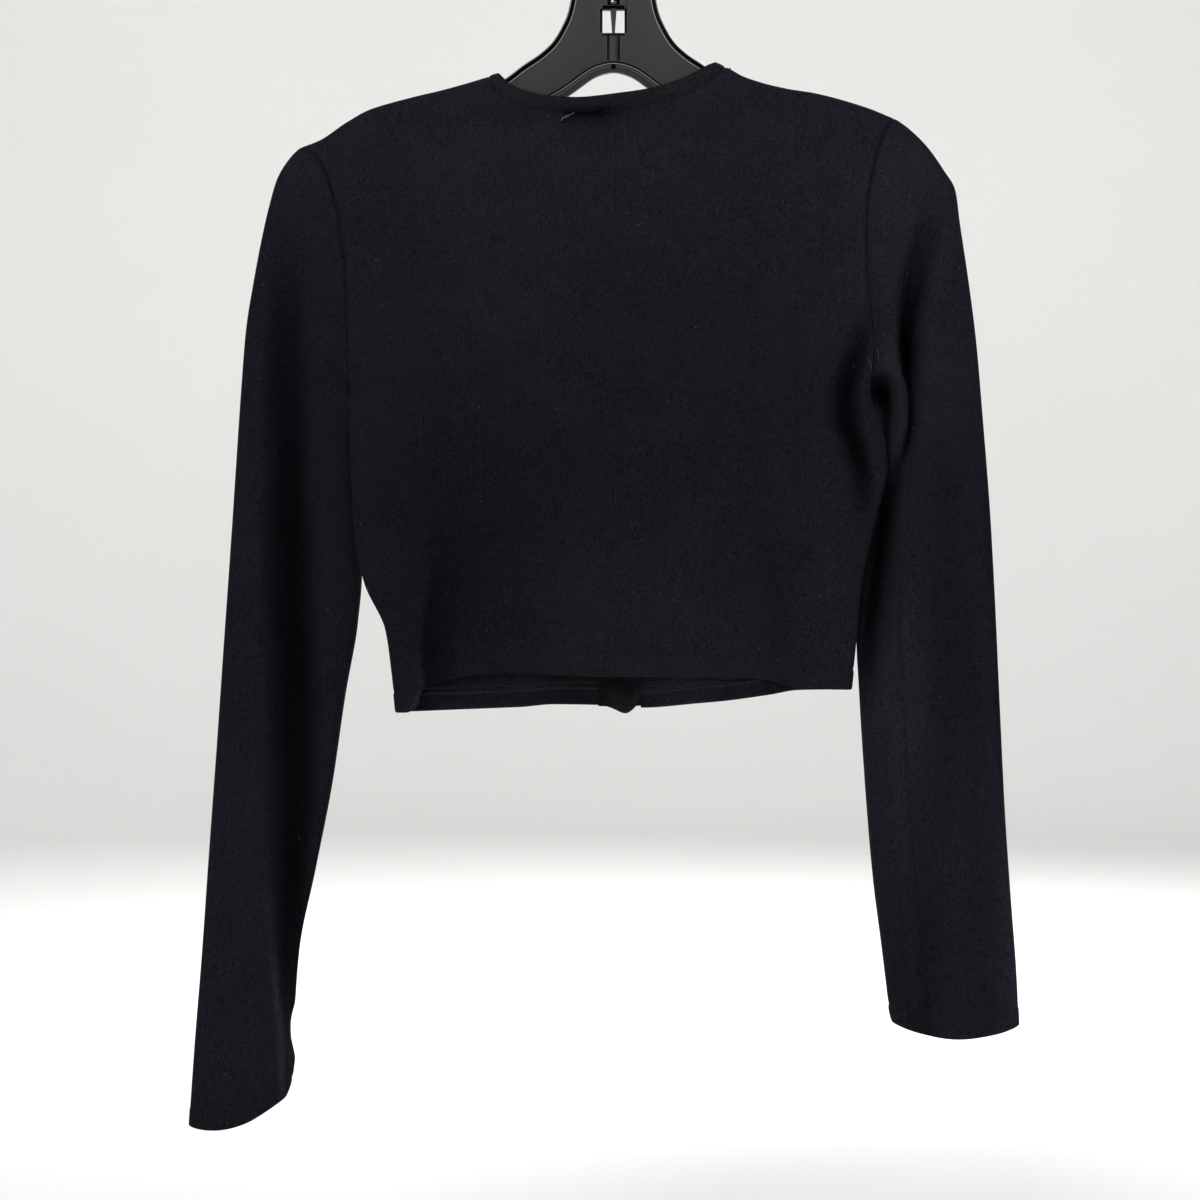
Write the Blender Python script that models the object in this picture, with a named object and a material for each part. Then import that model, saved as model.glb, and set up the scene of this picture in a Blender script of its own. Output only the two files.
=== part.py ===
"""Cropped cardigan hanging on a moulded hanger, built as sewn cloth walls.

Metres, +Z up. The origin is where the hook hangs, on the hanger's centreline.
The garment's back faces -Y and its front +Y, so +X is the wearer's right.
Tables are in millimetres: `across` is X and `drop` is the distance below the
origin. Every cloth piece is a wall of real thickness between two grids of points.
"""
from collections import namedtuple

import bpy
import numpy as np

MM = 0.001
SEAM_GAP = 0.3          # between the edges of pieces that are sewn together

# Cloth
CLOTH = 1.6             # one layer of knit
HEM_CLOTH = 2.6         # where the hem is turned up
HEM_TURN = 13.0
HEM_STEP = 1.0          # over which the wall thickens at the turn
BAND_CLOTH = 2.0        # folded strips
RIDGE_ROUND = 8.0       # how far below the ridge a shoulder reaches its full depth
SIDE_POWER = 2.6        # how squarely the body rounds off at its sides

Along = namedtuple("Along", "drop across")
LEFT_EDGE = [Along(188.6, -198.4), Along(196.9, -187.5), Along(214, -179.5), Along(241.5, -173.0),
             Along(270, -169.8), Along(327, -169.0), Along(344.7, -169.0), Along(407, -167.2),
             Along(439, -165.3), Along(467, -158.9), Along(496, -145.8), Along(522, -142.0),
             Along(548.5, -139.2)]
RIGHT_EDGE = [Along(170.2, 178.0), Along(178, 173.2), Along(203, 164.7), Along(232, 160.4),
              Along(254, 159.8), Along(280, 161.5), Along(318, 165.6), Along(337.7, 166.4),
              Along(359, 169.8), Along(378, 173.4), Along(394, 174.9), Along(407, 172.3),
              Along(433, 165.9), Along(467, 158.9), Along(503, 155.1), Along(534, 151.9)]
LEFT_SHOULDER_DROP, LEFT_ARMPIT_DROP = 188.6, 344.7
RIGHT_SHOULDER_DROP, RIGHT_ARMPIT_DROP = 170.2, 337.7

Line = namedtuple("Line", "across drop")
# The highest line of the cloth: both shoulders, and the line the neck is cut out of.
RIDGE = [Line(-198.4, 188.6), Line(-187, 184.2), Line(-169.8, 172.7), Line(-155, 164.6),
         Line(-126.4, 156.4), Line(-109, 152.3), Line(-92, 147.6), Line(-80.5, 144.0),
         Line(-73.4, 141.3), Line(0, 137.0), Line(62, 134.6), Line(72, 137.8),
         Line(83.8, 144.0), Line(109, 151.1), Line(128, 154.2), Line(160, 163.0),
         Line(178, 170.2)]
BACK_NECK = [Line(-80.5, 144.0), Line(-75.0, 155.0), Line(-60, 163.6), Line(-43.6, 167.3),
             Line(-24.5, 168.6), Line(6.7, 165.6), Line(27.7, 161.9), Line(45.5, 156.4),
             Line(58.3, 150.2), Line(67.5, 143.6), Line(72, 137.8)]
BACK_HEM = [Line(-139.2, 548.5), Line(-130.9, 548.0), Line(-122, 536.5), Line(-109.9, 531.0),
            Line(-92.7, 526.4), Line(-72.3, 524.0), Line(-10, 526.6), Line(93, 526.9),
            Line(118, 533.0), Line(151.9, 534.0)]
FRONT_HEM = [Line(-139.2, 548.5), Line(-103.5, 546.2), Line(-39, 544.2), Line(0, 544.6),
             Line(19.4, 545.0), Line(55, 542.8), Line(77, 540.9), Line(102, 537.6),
             Line(118, 534.8), Line(151.9, 534.0)]

# How far the two sides of the body stand from the hanging plane.
Depth = namedtuple("Depth", "drop back front")
DEPTH = [Depth(134, 11.0, 10.5), Depth(170, 12.0, 11.0), Depth(220, 14.0, 12.5),
         Depth(300, 17.0, 15.5), Depth(400, 19.0, 17.0), Depth(550, 20.0, 19.0)]
ARMHOLE_TOP, ARMHOLE_DEEP, ARMHOLE_TURN = 9.5, 14.5, 0.55
SIDE_BACK = 4.0         # the side seams lie this far towards the back
SIDE_BACK_RUN = 50.0    # reached this far below the armpit

# Front opening and bands
NECK_POINT_LEFT, NECK_POINT_RIGHT = Line(-80.5, 144.0), Line(72.0, 137.8)
VEE_DROP = 290.0
LEFT_NECK_EDGE = [Along(144, -80.5), Along(158, -77.0), Along(200, -58.5), Along(240, -35.5),
                  Along(272, -15.5), Along(VEE_DROP, -9.0), Along(300, -9.0), Along(560, -9.0)]
RIGHT_NECK_EDGE = [Along(137.8, 72.0), Along(152, 69.5), Along(200, 52.0), Along(240, 34.5),
                   Along(272, 21.5), Along(VEE_DROP, 17.7), Along(300, 17.7), Along(560, 17.7)]
BUTTON_BAND_SPAN = (-8.7, 17.4)
BUTTONHOLE_BAND_SPAN = (-8.4, 17.4)
BUTTON_BAND_OUT, BUTTONHOLE_BAND_OUT = -0.9, 1.4    # outer faces, from the front's
BUTTON_BAND_CLOTH = 1.8
BAND_WIDE, BAND_WIDE_AT_RIDGE = 9.5, 7.5
NECK_COLUMNS = 15
LEFT_SHOULDER_COLUMNS, RIGHT_SHOULDER_COLUMNS, FRONT_COLUMNS = 10, 9, 13
FRONT_BAND_ROWS = 14
NECK_MIDDLE = Line(-5.0, 100.0)     # above the opening, which side a neck edge faces
BUTTON_BAND_LOW = [Line(-8.7, 543.8), Line(-0.5, 546.4), Line(7.6, 548.4), Line(17.4, 535.5)]
BUTTONHOLE_BAND_LOW = [Line(-8.4, 545.4), Line(0, 545.6), Line(9, 545.6), Line(17.4, 545.0)]

BUTTON_COUNT, BUTTON_SIDES = 5, 14
BUTTON_FIRST_DROP, BUTTON_LAST_DROP = 296.0, 532.0
Turned = namedtuple("Turned", "radius height")
BUTTON_PROFILE = [Turned(5.0, 0.0), Turned(5.5, 0.7), Turned(5.5, 1.9), Turned(4.9, 2.5),
                  Turned(3.7, 1.7)]

# Folds: valleys (positive depth) and ridges (negative) that run down a wall.
Fold = namedtuple("Fold", "drops acrosses half_width depth")
BACK_FOLDS = [
    Fold((395, 433, 478, 512, 540), (-128, -112, -117, -122, -127), 11, 4.5),
    Fold((270, 312, 343, 375, 398), (161, 155, 144, 150, 161), 8, 4.0),
    Fold((275, 312, 345, 385), (114, 117, 119, 124), 12, 2.0),
    Fold((440, 470, 510), (101, 106, 113), 13, 2.2),
]
FRONT_FOLDS = [
    Fold((250, 320, 400, 480), (-128, -120, -118, -122), 13, 3.0),
    Fold((255, 330, 420), (138, 128, 124), 13, 3.0),
]
LEFT_SLEEVE_FOLDS = [
    Fold((235, 330, 477, 584, 647, 711, 775), (-209, -205, -203, -205, -205.5, -208, -209), 11, 7.5),
    Fold((215, 255, 300), (-199, -190, -183), 9, 2.5),
]
RIGHT_SLEEVE_FOLDS = [
    Fold((212, 262, 312, 362, 400), (208, 197, 187, 186, 189), 9, 5.5),
    Fold((300, 345, 372, 400), (180, 183, 181, 177), 6, -2.5),
    Fold((430, 540, 640, 730), (199, 201, 204, 205), 14, 3.0),
]

# Sleeves: one row for each ring, from the armhole to the cuff.
Ring = namedtuple("Ring", "outer outer_drop inner inner_drop inner_set deep square")
LEFT_SLEEVE = [
    Ring(-198.4, 188.6, -169.0, 344.7, 0.0, 14.5, 0.62),
    Ring(-204.8, 195.0, -169.8, 347.6, 2.0, 14.5, 0.62),
    Ring(-213.3, 208.4, -169.6, 351.2, 4.5, 14.5, 0.62),
    Ring(-218.8, 226.9, -168.6, 358.0, 7.0, 14.5, 0.62),
    Ring(-223.3, 246.6, -166.8, 369.0, 9.0, 14.5, 0.65),
    Ring(-229.0, 276.5, -165.2, 388.0, 10.5, 14.5, 0.7),
    Ring(-233.5, 305.2, -164.7, 407.1, 11.0, 14.5, 0.7),
    Ring(-236.6, 343.4, -163.4, 432.6, 11.0, 14.0, 0.7),
    Ring(-239.2, 381.6, -160.8, 459.4, 11.0, 13.5, 0.7),
    Ring(-243.0, 439.0, -163.5, 493.1, 10.0, 13.5, 0.7),
    Ring(-247.5, 502.7, -171.0, 537.7, 7.0, 13.0, 0.7),
    Ring(-251.9, 566.4, -179.3, 595.0, 5.0, 13.0, 0.7),
    Ring(-257.0, 636.5, -189.5, 647.9, 3.0, 12.5, 0.7),
    Ring(-261.5, 700.1, -200.0, 700.1, 3.0, 12.0, 0.7),
    Ring(-266.6, 763.9, -204.5, 758.8, 3.0, 11.5, 0.7),
    Ring(-269.8, 811.0, -209.3, 794.0, 3.0, 11.5, 0.7),
]
RIGHT_SLEEVE = [
    Ring(178.0, 170.2, 166.4, 337.7, 0.0, 14.5, 0.62),
    Ring(187.6, 177.2, 168.0, 339.8, 2.0, 14.5, 0.62),
    Ring(199.1, 188.6, 168.8, 343.4, 4.5, 14.5, 0.62),
    Ring(209.9, 203.9, 169.2, 350.0, 7.0, 14.5, 0.62),
    Ring(216.9, 216.0, 169.6, 359.4, 9.0, 14.5, 0.62),
    Ring(220.1, 238.3, 171.5, 373.4, 10.5, 14.5, 0.65),
    Ring(224.5, 267.0, 170.4, 388.0, 11.5, 14.5, 0.7),
    Ring(230.3, 311.6, 167.8, 407.1, 11.5, 14.0, 0.7),
    Ring(234.7, 362.5, 163.4, 431.3, 11.0, 14.0, 0.7),
    Ring(239.2, 419.9, 158.3, 461.3, 10.0, 13.5, 0.7),
    Ring(242.4, 477.2, 156.6, 497.6, 8.5, 13.0, 0.7),
    Ring(245.6, 547.3, 158.3, 540.9, 4.0, 13.0, 0.7),
    Ring(248.7, 611.0, 160.2, 598.2, 2.0, 13.0, 0.7),
    Ring(252.6, 668.3, 164.7, 652.4, 1.0, 12.5, 0.7),
    Ring(255.8, 709.7, 170.4, 698.9, 0.0, 12.0, 0.7),
    Ring(257.7, 747.3, 176.1, 746.0, 0.0, 12.0, 0.7),
]
ARMHOLE_BLEND = 0.22    # share of the sleeve over which the armhole's shape fades out
CUFF_BOW = 8.5          # how much lower the cuff's near edge hangs at its middle
CUFF_BOW_RUN = 0.12
SLEEVE_ROWS = 27

# Hanger
HANGER_HALF_DEPTH = 4.0
HANGER_WEB_HALF = 1.3
FLANGE = 3.6
# Half of the hanger's outline, from the top of the neck to the arm's tip. Each row
# pairs a point of the upper edge with the point of the lower edge below it, and
# low_flange is the width of the lower flange there.
Station = namedtuple("Station", "top top_drop low low_drop low_flange")
HANGER_HALF = [
    Station(9.0, 73.0, 2.2, 141.3, 6.3), Station(18.0, 74.5, 4.4, 141.7, 6.3),
    Station(24.2, 80.5, 6.8, 142.3, 6.3), Station(26.2, 88.0, 9.0, 143.1, 6.3),
    Station(27.3, 96.0, 11.2, 144.0, 6.3), Station(29.3, 104.5, 13.6, 145.3, 6.3),
    Station(33.0, 113.0, 16.4, 147.2, 6.3), Station(38.8, 122.4, 19.8, 149.7, 6.3),
    Station(46.6, 129.8, 25.4, 153.8, 6.3), Station(57.5, 137.2, 36.0, 160.4, 6.0),
    Station(71.3, 147.2, 54.0, 168.0, 5.2), Station(84.0, 152.2, 73.0, 171.4, 4.6),
    Station(104.0, 156.0, 97.5, 172.8, 4.2), Station(127.4, 162.0, 124.0, 176.0, 3.6),
    Station(147.0, 167.6, 144.0, 181.0, 3.6), Station(163.0, 175.2, 158.0, 188.2, 3.6),
    Station(178.0, 185.6, 172.0, 198.0, 3.6), Station(192.0, 197.6, 186.0, 209.6, 3.6),
    Station(203.5, 208.2, 197.6, 219.2, 3.6), Station(208.8, 215.6, 204.2, 223.4, 3.6),
]
WINDOW_HALF, WINDOW_TOP, WINDOW_LOW = 7.6, 99.5, 116.7
RIVET_HALF, RIVET_TOP = 4.0, 94.4
BORE_RADIUS = 2.2
BOSS_HALF, BOSS_TOP, BOSS_UNDER_RIM = 8.0, 76.0, 0.4
RIB_HALF, RIB_HALF_DEPTH, RIB_LOW = 3.7, 3.0, 136.4
JOIN = 1.0              # how far one tool reaches into the next
THROUGH = 5.0           # how far a cutting tool passes both faces

WIRE_RADIUS = 1.8
HOOK_RADIUS = 22.0
HOOK_SIDES, HOOK_POINTS = 10, 26
HOOK_FROM, HOOK_TO = -38.0, 212.0       # degrees round the hook, from +X
HOOK_TIP = 0.6          # the end's radius, as a share of the wire's
Wire = namedtuple("Wire", "across drop radius")
HOOK_STEM = [Wire(0, 98.2, 2.8), Wire(0, 97.8, 3.6), Wire(0, 95.4, 3.6), Wire(0, 95.2, WIRE_RADIUS),
             Wire(0, 74, WIRE_RADIUS), Wire(0, 60, WIRE_RADIUS), Wire(0.8, 53, WIRE_RADIUS),
             Wire(3.6, 46.5, WIRE_RADIUS), Wire(9.2, 39.8, WIRE_RADIUS)]

Finish = namedtuple("Finish", "colour roughness metallic")
KNIT = Finish((0.0085, 0.0095, 0.0125), 0.9, 0.0)
KNIT_BAND = Finish((0.0080, 0.0090, 0.0118), 0.88, 0.0)
BUTTON_PLASTIC = Finish((0.010, 0.010, 0.012), 0.3, 0.0)
HANGER_PLASTIC = Finish((0.018, 0.018, 0.019), 0.42, 0.0)
STEEL = Finish((0.62, 0.62, 0.60), 0.28, 1.0)


def columns(table):
    """Each named column of a table, as an array."""
    return [np.array(column, float) for column in zip(*table)]


def smooth_read(at, knots, values):
    """Cubic Hermite curve through the knots; a slope is the harmonic mean of its two
    chords, and zero where they turn, so the curve never overshoots its rows."""
    at = np.asarray(at, float)
    steps = np.diff(knots)
    chords = np.diff(values) / steps
    before, after = chords[:-1], chords[1:]
    total = np.where(before + after == 0, 1.0, before + after)
    inner = np.where(before * after > 0, 2 * before * after / total, 0.0)
    slopes = np.concatenate([chords[:1], inner, chords[-1:]])
    piece = np.clip(np.searchsorted(knots, at, side="right") - 1, 0, len(steps) - 1)
    s = np.clip((at - knots[piece]) / steps[piece], 0, 1)
    a, b = values[piece], values[piece + 1]
    rise_a, rise_b = slopes[piece] * steps[piece], slopes[piece + 1] * steps[piece]
    return (a * (1 + 2 * s) * (1 - s) ** 2 + b * s ** 2 * (3 - 2 * s)
            + rise_a * s * (1 - s) ** 2 - rise_b * s ** 2 * (1 - s))


def table_read(at, table, given, wanted):
    """One column of a table, read smoothly at values of another."""
    knots = np.array([getattr(row, given) for row in table], float)
    values = np.array([getattr(row, wanted) for row in table], float)
    return smooth_read(at, knots, values)


def path_through(table, count):
    """Points evenly spaced by chord length along a smooth path through a table."""
    across, drop = columns(table)
    reach = np.concatenate([[0], np.cumsum(np.hypot(np.diff(across), np.diff(drop)))])
    at = np.linspace(0, reach[-1], count)
    return smooth_read(at, reach, across), smooth_read(at, reach, drop)


def ease(value):
    """0 below 0, 1 above 1, and a smooth step between."""
    value = np.clip(value, 0, 1)
    return value * value * (3 - 2 * value)


def fold_offset(across, drop, folds):
    """Sum of soft troughs: a bell across each fold, faded out at both its ends."""
    total = np.zeros(np.broadcast(across, drop).shape)
    for fold in folds:
        drops = np.array(fold.drops, float)
        middle = smooth_read(drop, drops, np.array(fold.acrosses, float))
        run = (drop - drops[0]) / (drops[-1] - drops[0])
        fade = ease(run / 0.25) * ease((1 - run) / 0.25)
        total = total + fold.depth * fade * np.exp(-((across - middle) / fold.half_width) ** 2)
    return total


def left_edge(drop):
    return table_read(drop, LEFT_EDGE, "drop", "across")


def right_edge(drop):
    return table_read(drop, RIGHT_EDGE, "drop", "across")


def armhole_depth(drop, shoulder, armpit):
    """Half width of the armhole: growing from the shoulder, closing as an ellipse."""
    s = (drop - shoulder) / (armpit - shoulder)
    grown = ARMHOLE_TOP + (ARMHOLE_DEEP - ARMHOLE_TOP) * np.clip(s / ARMHOLE_TURN, 0, 1)
    closing = np.clip((s - ARMHOLE_TURN) / (1 - ARMHOLE_TURN), 0, 1)
    return grown * np.sqrt(1 - closing ** 2)


def body_depth(across, drop, side):
    """Y of the body's outer face: a flattened ring at each height, rounded over the
    shoulders and open at the armholes. side is -1 for the back and 1 for the front."""
    left, right = left_edge(drop), right_edge(drop)
    share = np.clip(np.abs((2 * across - left - right) / (right - left)), 0, 1)
    full = (1 - share ** SIDE_POWER) ** (1 / SIDE_POWER)
    left_hole = armhole_depth(drop, LEFT_SHOULDER_DROP, LEFT_ARMPIT_DROP)
    right_hole = armhole_depth(drop, RIGHT_SHOULDER_DROP, RIGHT_ARMPIT_DROP)
    hole = np.where(across < 0, left_hole, right_hole)
    middle = table_read(drop, DEPTH, "drop", "back" if side < 0 else "front")
    below = (drop - np.where(across < 0, LEFT_ARMPIT_DROP, RIGHT_ARMPIT_DROP)) / SIDE_BACK_RUN
    seam = -SIDE_BACK * ease(below) * (1 - full)
    under_ridge = np.clip((drop - table_read(across, RIDGE, "across", "drop")) / RIDGE_ROUND, 0, 1)
    over = np.sqrt(1 - (1 - under_ridge) ** 2)
    folds = fold_offset(across, drop, BACK_FOLDS if side < 0 else FRONT_FOLDS)
    depth = over * (hole * (1 - full) + middle * full) - full * folds
    return seam + side * (SEAM_GAP / 2 + depth)


def unit(vectors):
    """Vectors of length 1."""
    return vectors / np.maximum(np.linalg.norm(vectors, axis=-1, keepdims=True), 1e-9)


def body_normals(across, drop, side):
    """Outward unit normals of the body's form, from its slopes across and down."""
    step = 0.4
    slope_across = (body_depth(across + step, drop, side)
                    - body_depth(across - step, drop, side)) / (2 * step)
    slope_down = (body_depth(across, drop + step, side)
                  - body_depth(across, drop - step, side)) / (2 * step)
    normals = np.stack([slope_across, -np.ones_like(slope_across), -slope_down], axis=-1)
    return unit(-side * normals)


def armhole_normals(drop, side, edge):
    """Unit normals of the armhole's loop within a plane of constant X."""
    step = 0.4
    slope = (body_depth(edge(drop + step), drop + step, side)
             - body_depth(edge(drop - step), drop - step, side)) / (2 * step)
    normals = np.stack([0 * slope, -np.ones_like(slope), -slope], axis=-1)
    return unit(-side * normals)


def tube_normals(points):
    """Outward unit normals of a tube's grid of rings, from its own differences."""
    down = np.gradient(points, axis=0)
    around = (np.roll(points, -1, axis=1) - np.roll(points, 1, axis=1)) / 2
    normals = unit(np.cross(unit(down), unit(around)))
    outward = np.sum(normals * (points - points.mean(axis=1, keepdims=True))) > 0
    return normals if outward else -normals


def place(across, y, drop):
    """Points from tables' millimetres, still in millimetres, with Z up."""
    return np.stack(np.broadcast_arrays(across, y, -np.asarray(drop)), axis=-1)


def make_material(name, finish):
    material = bpy.data.materials.new(name)
    material.use_nodes = True
    shader = material.node_tree.nodes["Principled BSDF"]
    shader.inputs["Base Color"].default_value = (*finish.colour, 1)
    shader.inputs["Roughness"].default_value = finish.roughness
    shader.inputs["Metallic"].default_value = finish.metallic
    return material


def add_object(name, points, faces, finish):
    """One named object from points in millimetres."""
    points = np.asarray(points, float).reshape(-1, 3) * MM
    mesh = bpy.data.meshes.new(name)
    mesh.from_pydata(points.tolist(), [], faces)
    mesh.materials.append(make_material(name, finish))
    mesh.shade_smooth()
    mesh.set_sharp_from_angle(angle=np.radians(50))
    piece = bpy.data.objects.new(name, mesh)
    bpy.context.scene.collection.objects.link(piece)
    return piece


def volume_of(points, faces):
    """Six times the signed volume inside a closed set of faces."""
    total = 0.0
    for face in faces:
        first = points[face[0]]
        for second, third in zip(face[1:-1], face[2:]):
            total += np.dot(first, np.cross(points[second], points[third]))
    return total


def add_solid(name, points, faces, finish):
    """An object whose faces are all turned over if they would face inwards."""
    points = np.asarray(points, float).reshape(-1, 3)
    if volume_of(points, faces) < 0:
        faces = [face[::-1] for face in faces]
    return add_object(name, points, faces, finish)


def quads(ids):
    """Faces between neighbouring rows and columns of a grid of point numbers."""
    return np.stack([ids[:-1, :-1], ids[1:, :-1], ids[1:, 1:], ids[:-1, 1:]],
                    axis=-1).reshape(-1, 4).tolist()


def add_wall(name, outer, inner, finish, wraps=False):
    """A closed wall between an outer and an inner grid. A grid that wraps is a tube."""
    rows, cols = outer.shape[:2]
    outside = np.arange(rows * cols).reshape(rows, cols)
    inside = outside + rows * cols
    if wraps:
        outside = np.hstack([outside, outside[:, :1]])
        inside = np.hstack([inside, inside[:, :1]])
    faces = quads(outside) + quads(inside[:, ::-1])
    faces += quads(np.stack([inside[0], outside[0]]))
    faces += quads(np.stack([outside[-1], inside[-1]]))
    if not wraps:
        faces += quads(np.stack([inside[:, 0], outside[:, 0]], axis=1))
        faces += quads(np.stack([outside[:, -1], inside[:, -1]], axis=1))
    points = np.concatenate([outer.reshape(-1, 3), inner.reshape(-1, 3)])
    return add_solid(name, points, faces, finish)


def rings_solid(name, rings, finish):
    """A closed body lofted through rings of points, with a flat cap at each end."""
    count, around = rings.shape[:2]
    ids = np.arange(count * around).reshape(count, around)
    faces = quads(np.hstack([ids, ids[:, :1]]))
    faces += [ids[0].tolist(), ids[-1][::-1].tolist()]
    return add_solid(name, rings, faces, finish)


# Cloth panels

ROUND_ROWS = RIDGE_ROUND * (1 - np.cos(np.radians([0, 30, 58, 90])))
ARMHOLE_ROWS, SIDE_ROWS = 9, 9


def armhole_rows(top, armpit):
    """Drops from the ridge to the armpit's level: close rows over the ridge, then even."""
    first = top + ROUND_ROWS[-1]
    rows = [top + reach for reach in ROUND_ROWS]
    return rows + [first + (armpit - first) * row / ARMHOLE_ROWS
                   for row in range(1, ARMHOLE_ROWS + 1)]


def armpit_level(across):
    """The drop of a line from armpit to armpit."""
    level = (across - RIDGE[0].across) / (RIDGE[-1].across - RIDGE[0].across)
    return LEFT_ARMPIT_DROP + (RIGHT_ARMPIT_DROP - LEFT_ARMPIT_DROP) * level


def body_rows(top, low, armpit):
    """Drops down each column: those of the armhole, even rows to just above the hem's
    turn, then the hem. Also the wall's thickness at each."""
    last = low - HEM_TURN - HEM_STEP
    rows = armhole_rows(top, armpit)
    rows += [armpit + (last - armpit) * row / SIDE_ROWS for row in range(1, SIDE_ROWS + 1)]
    rows += [low - HEM_TURN, low]
    thick = np.full((len(rows), 1, 1), CLOTH)
    thick[-2:] = HEM_CLOTH
    return np.array(rows), thick


ARMPIT_ROW = len(ROUND_ROWS) + ARMHOLE_ROWS - 1


def panel_grid(top_across, top_drop, low_across, low_drop, first_edge, last_edge):
    """A panel's across and drop: straight columns, bent so that the first and the last
    follow the panel's cut edges."""
    drop, thick = body_rows(top_drop, low_drop, armpit_level(top_across))
    run = (drop - top_drop) / (low_drop - top_drop)
    across = top_across + (low_across - top_across) * run
    share = (top_across - top_across[0]) / (top_across[-1] - top_across[0])
    first = first_edge(drop[:, :1]) - across[:, :1]
    last = last_edge(drop[:, -1:]) - across[:, -1:]
    return across + first * (1 - share) + last * share, drop, thick


def panel_normals(across, drop, side, sides):
    """The form's normals, turned square to the seams: without Y along the ridge, straight
    out along a side seam, and within the armhole's plane above the armpit. `sides` has a
    column, the way it faces and its edge."""
    normals = body_normals(across, drop, side)
    ridge = drop[0] < table_read(across[0], RIDGE, "across", "drop") + 0.01
    normals[0, ridge, 1] = 0
    for column, way, edge in sides:
        hole = slice(1, ARMPIT_ROW)
        normals[hole, column] = armhole_normals(drop[hole, column], side, edge)
        normals[ARMPIT_ROW:, column] = (way, 0, 0)
        normals[0, column] = (0, 0, 1)
    return unit(normals)


def closer_first(first, last, count):
    """Values from first to last, closer together at the first."""
    return first + (last - first) * (1 - np.cos(np.linspace(0, np.pi / 2, count)))


def add_back():
    """The back panel: shoulder, neck and shoulder along its top, curved hem below."""
    left_top = closer_first(RIDGE[0].across, NECK_POINT_LEFT.across, LEFT_SHOULDER_COLUMNS)[:-1]
    right_top = closer_first(RIDGE[-1].across, NECK_POINT_RIGHT.across,
                             RIGHT_SHOULDER_COLUMNS)[:-1][::-1]
    neck_across, neck_drop = path_through(BACK_NECK, NECK_COLUMNS)
    top_across = np.concatenate([left_top, neck_across, right_top])
    top_drop = np.concatenate([table_read(left_top, RIDGE, "across", "drop"), neck_drop,
                               table_read(right_top, RIDGE, "across", "drop")])
    share = (top_across - top_across[0]) / (top_across[-1] - top_across[0])
    low_across = BACK_HEM[0].across + share * (BACK_HEM[-1].across - BACK_HEM[0].across)
    low_drop = table_read(low_across, BACK_HEM, "across", "drop")
    across, drop, thick = panel_grid(top_across, top_drop, low_across, low_drop,
                                     left_edge, right_edge)
    outer = place(across, body_depth(across, drop, -1), drop)
    normals = panel_normals(across, drop, -1, [(0, -1, left_edge), (-1, 1, right_edge)])
    return add_wall("back", outer, outer - normals * thick, KNIT)


def add_front(name, shoulder, neck_point, hem_side, side_edge, neck_edge):
    """One front panel, from its side to its neck edge and centre edge."""
    top_across = closer_first(shoulder.across, neck_point.across, FRONT_COLUMNS)
    top_drop = table_read(top_across, RIDGE, "across", "drop")
    share = (top_across - top_across[0]) / (top_across[-1] - top_across[0])
    low_across = hem_side.across + share * (neck_edge[-1].across - hem_side.across)
    low_drop = table_read(low_across, FRONT_HEM, "across", "drop")
    across, drop, thick = panel_grid(top_across, top_drop, low_across, low_drop, side_edge,
                                     lambda at: table_read(at, neck_edge, "drop", "across"))
    outer = place(across, body_depth(across, drop, 1), drop)
    normals = panel_normals(across, drop, 1, [(0, np.sign(shoulder.across), side_edge)])
    return add_wall(name, outer, outer - normals * thick, KNIT)


def front_neck_rows(neck_point, neck_edge):
    """The drops of a front's neck edge, from the ridge to the foot of the opening."""
    hem = table_read(neck_edge[-1].across, FRONT_HEM, "across", "drop")
    drops = body_rows(neck_point.drop, hem, armpit_level(neck_point.across))[0]
    return drops[drops <= VEE_DROP]


def inward(across, drop):
    """Unit directions in the cloth, square to a neck edge, towards the neck's opening."""
    along = unit(np.stack([np.gradient(across), np.gradient(drop)], axis=-1))
    square = np.stack([along[:, 1], -along[:, 0]], axis=-1)
    to_middle = np.stack([NECK_MIDDLE.across - across, NECK_MIDDLE.drop - drop], axis=-1)
    return square * np.sign(np.sum(square * to_middle, axis=-1, keepdims=True))


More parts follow.
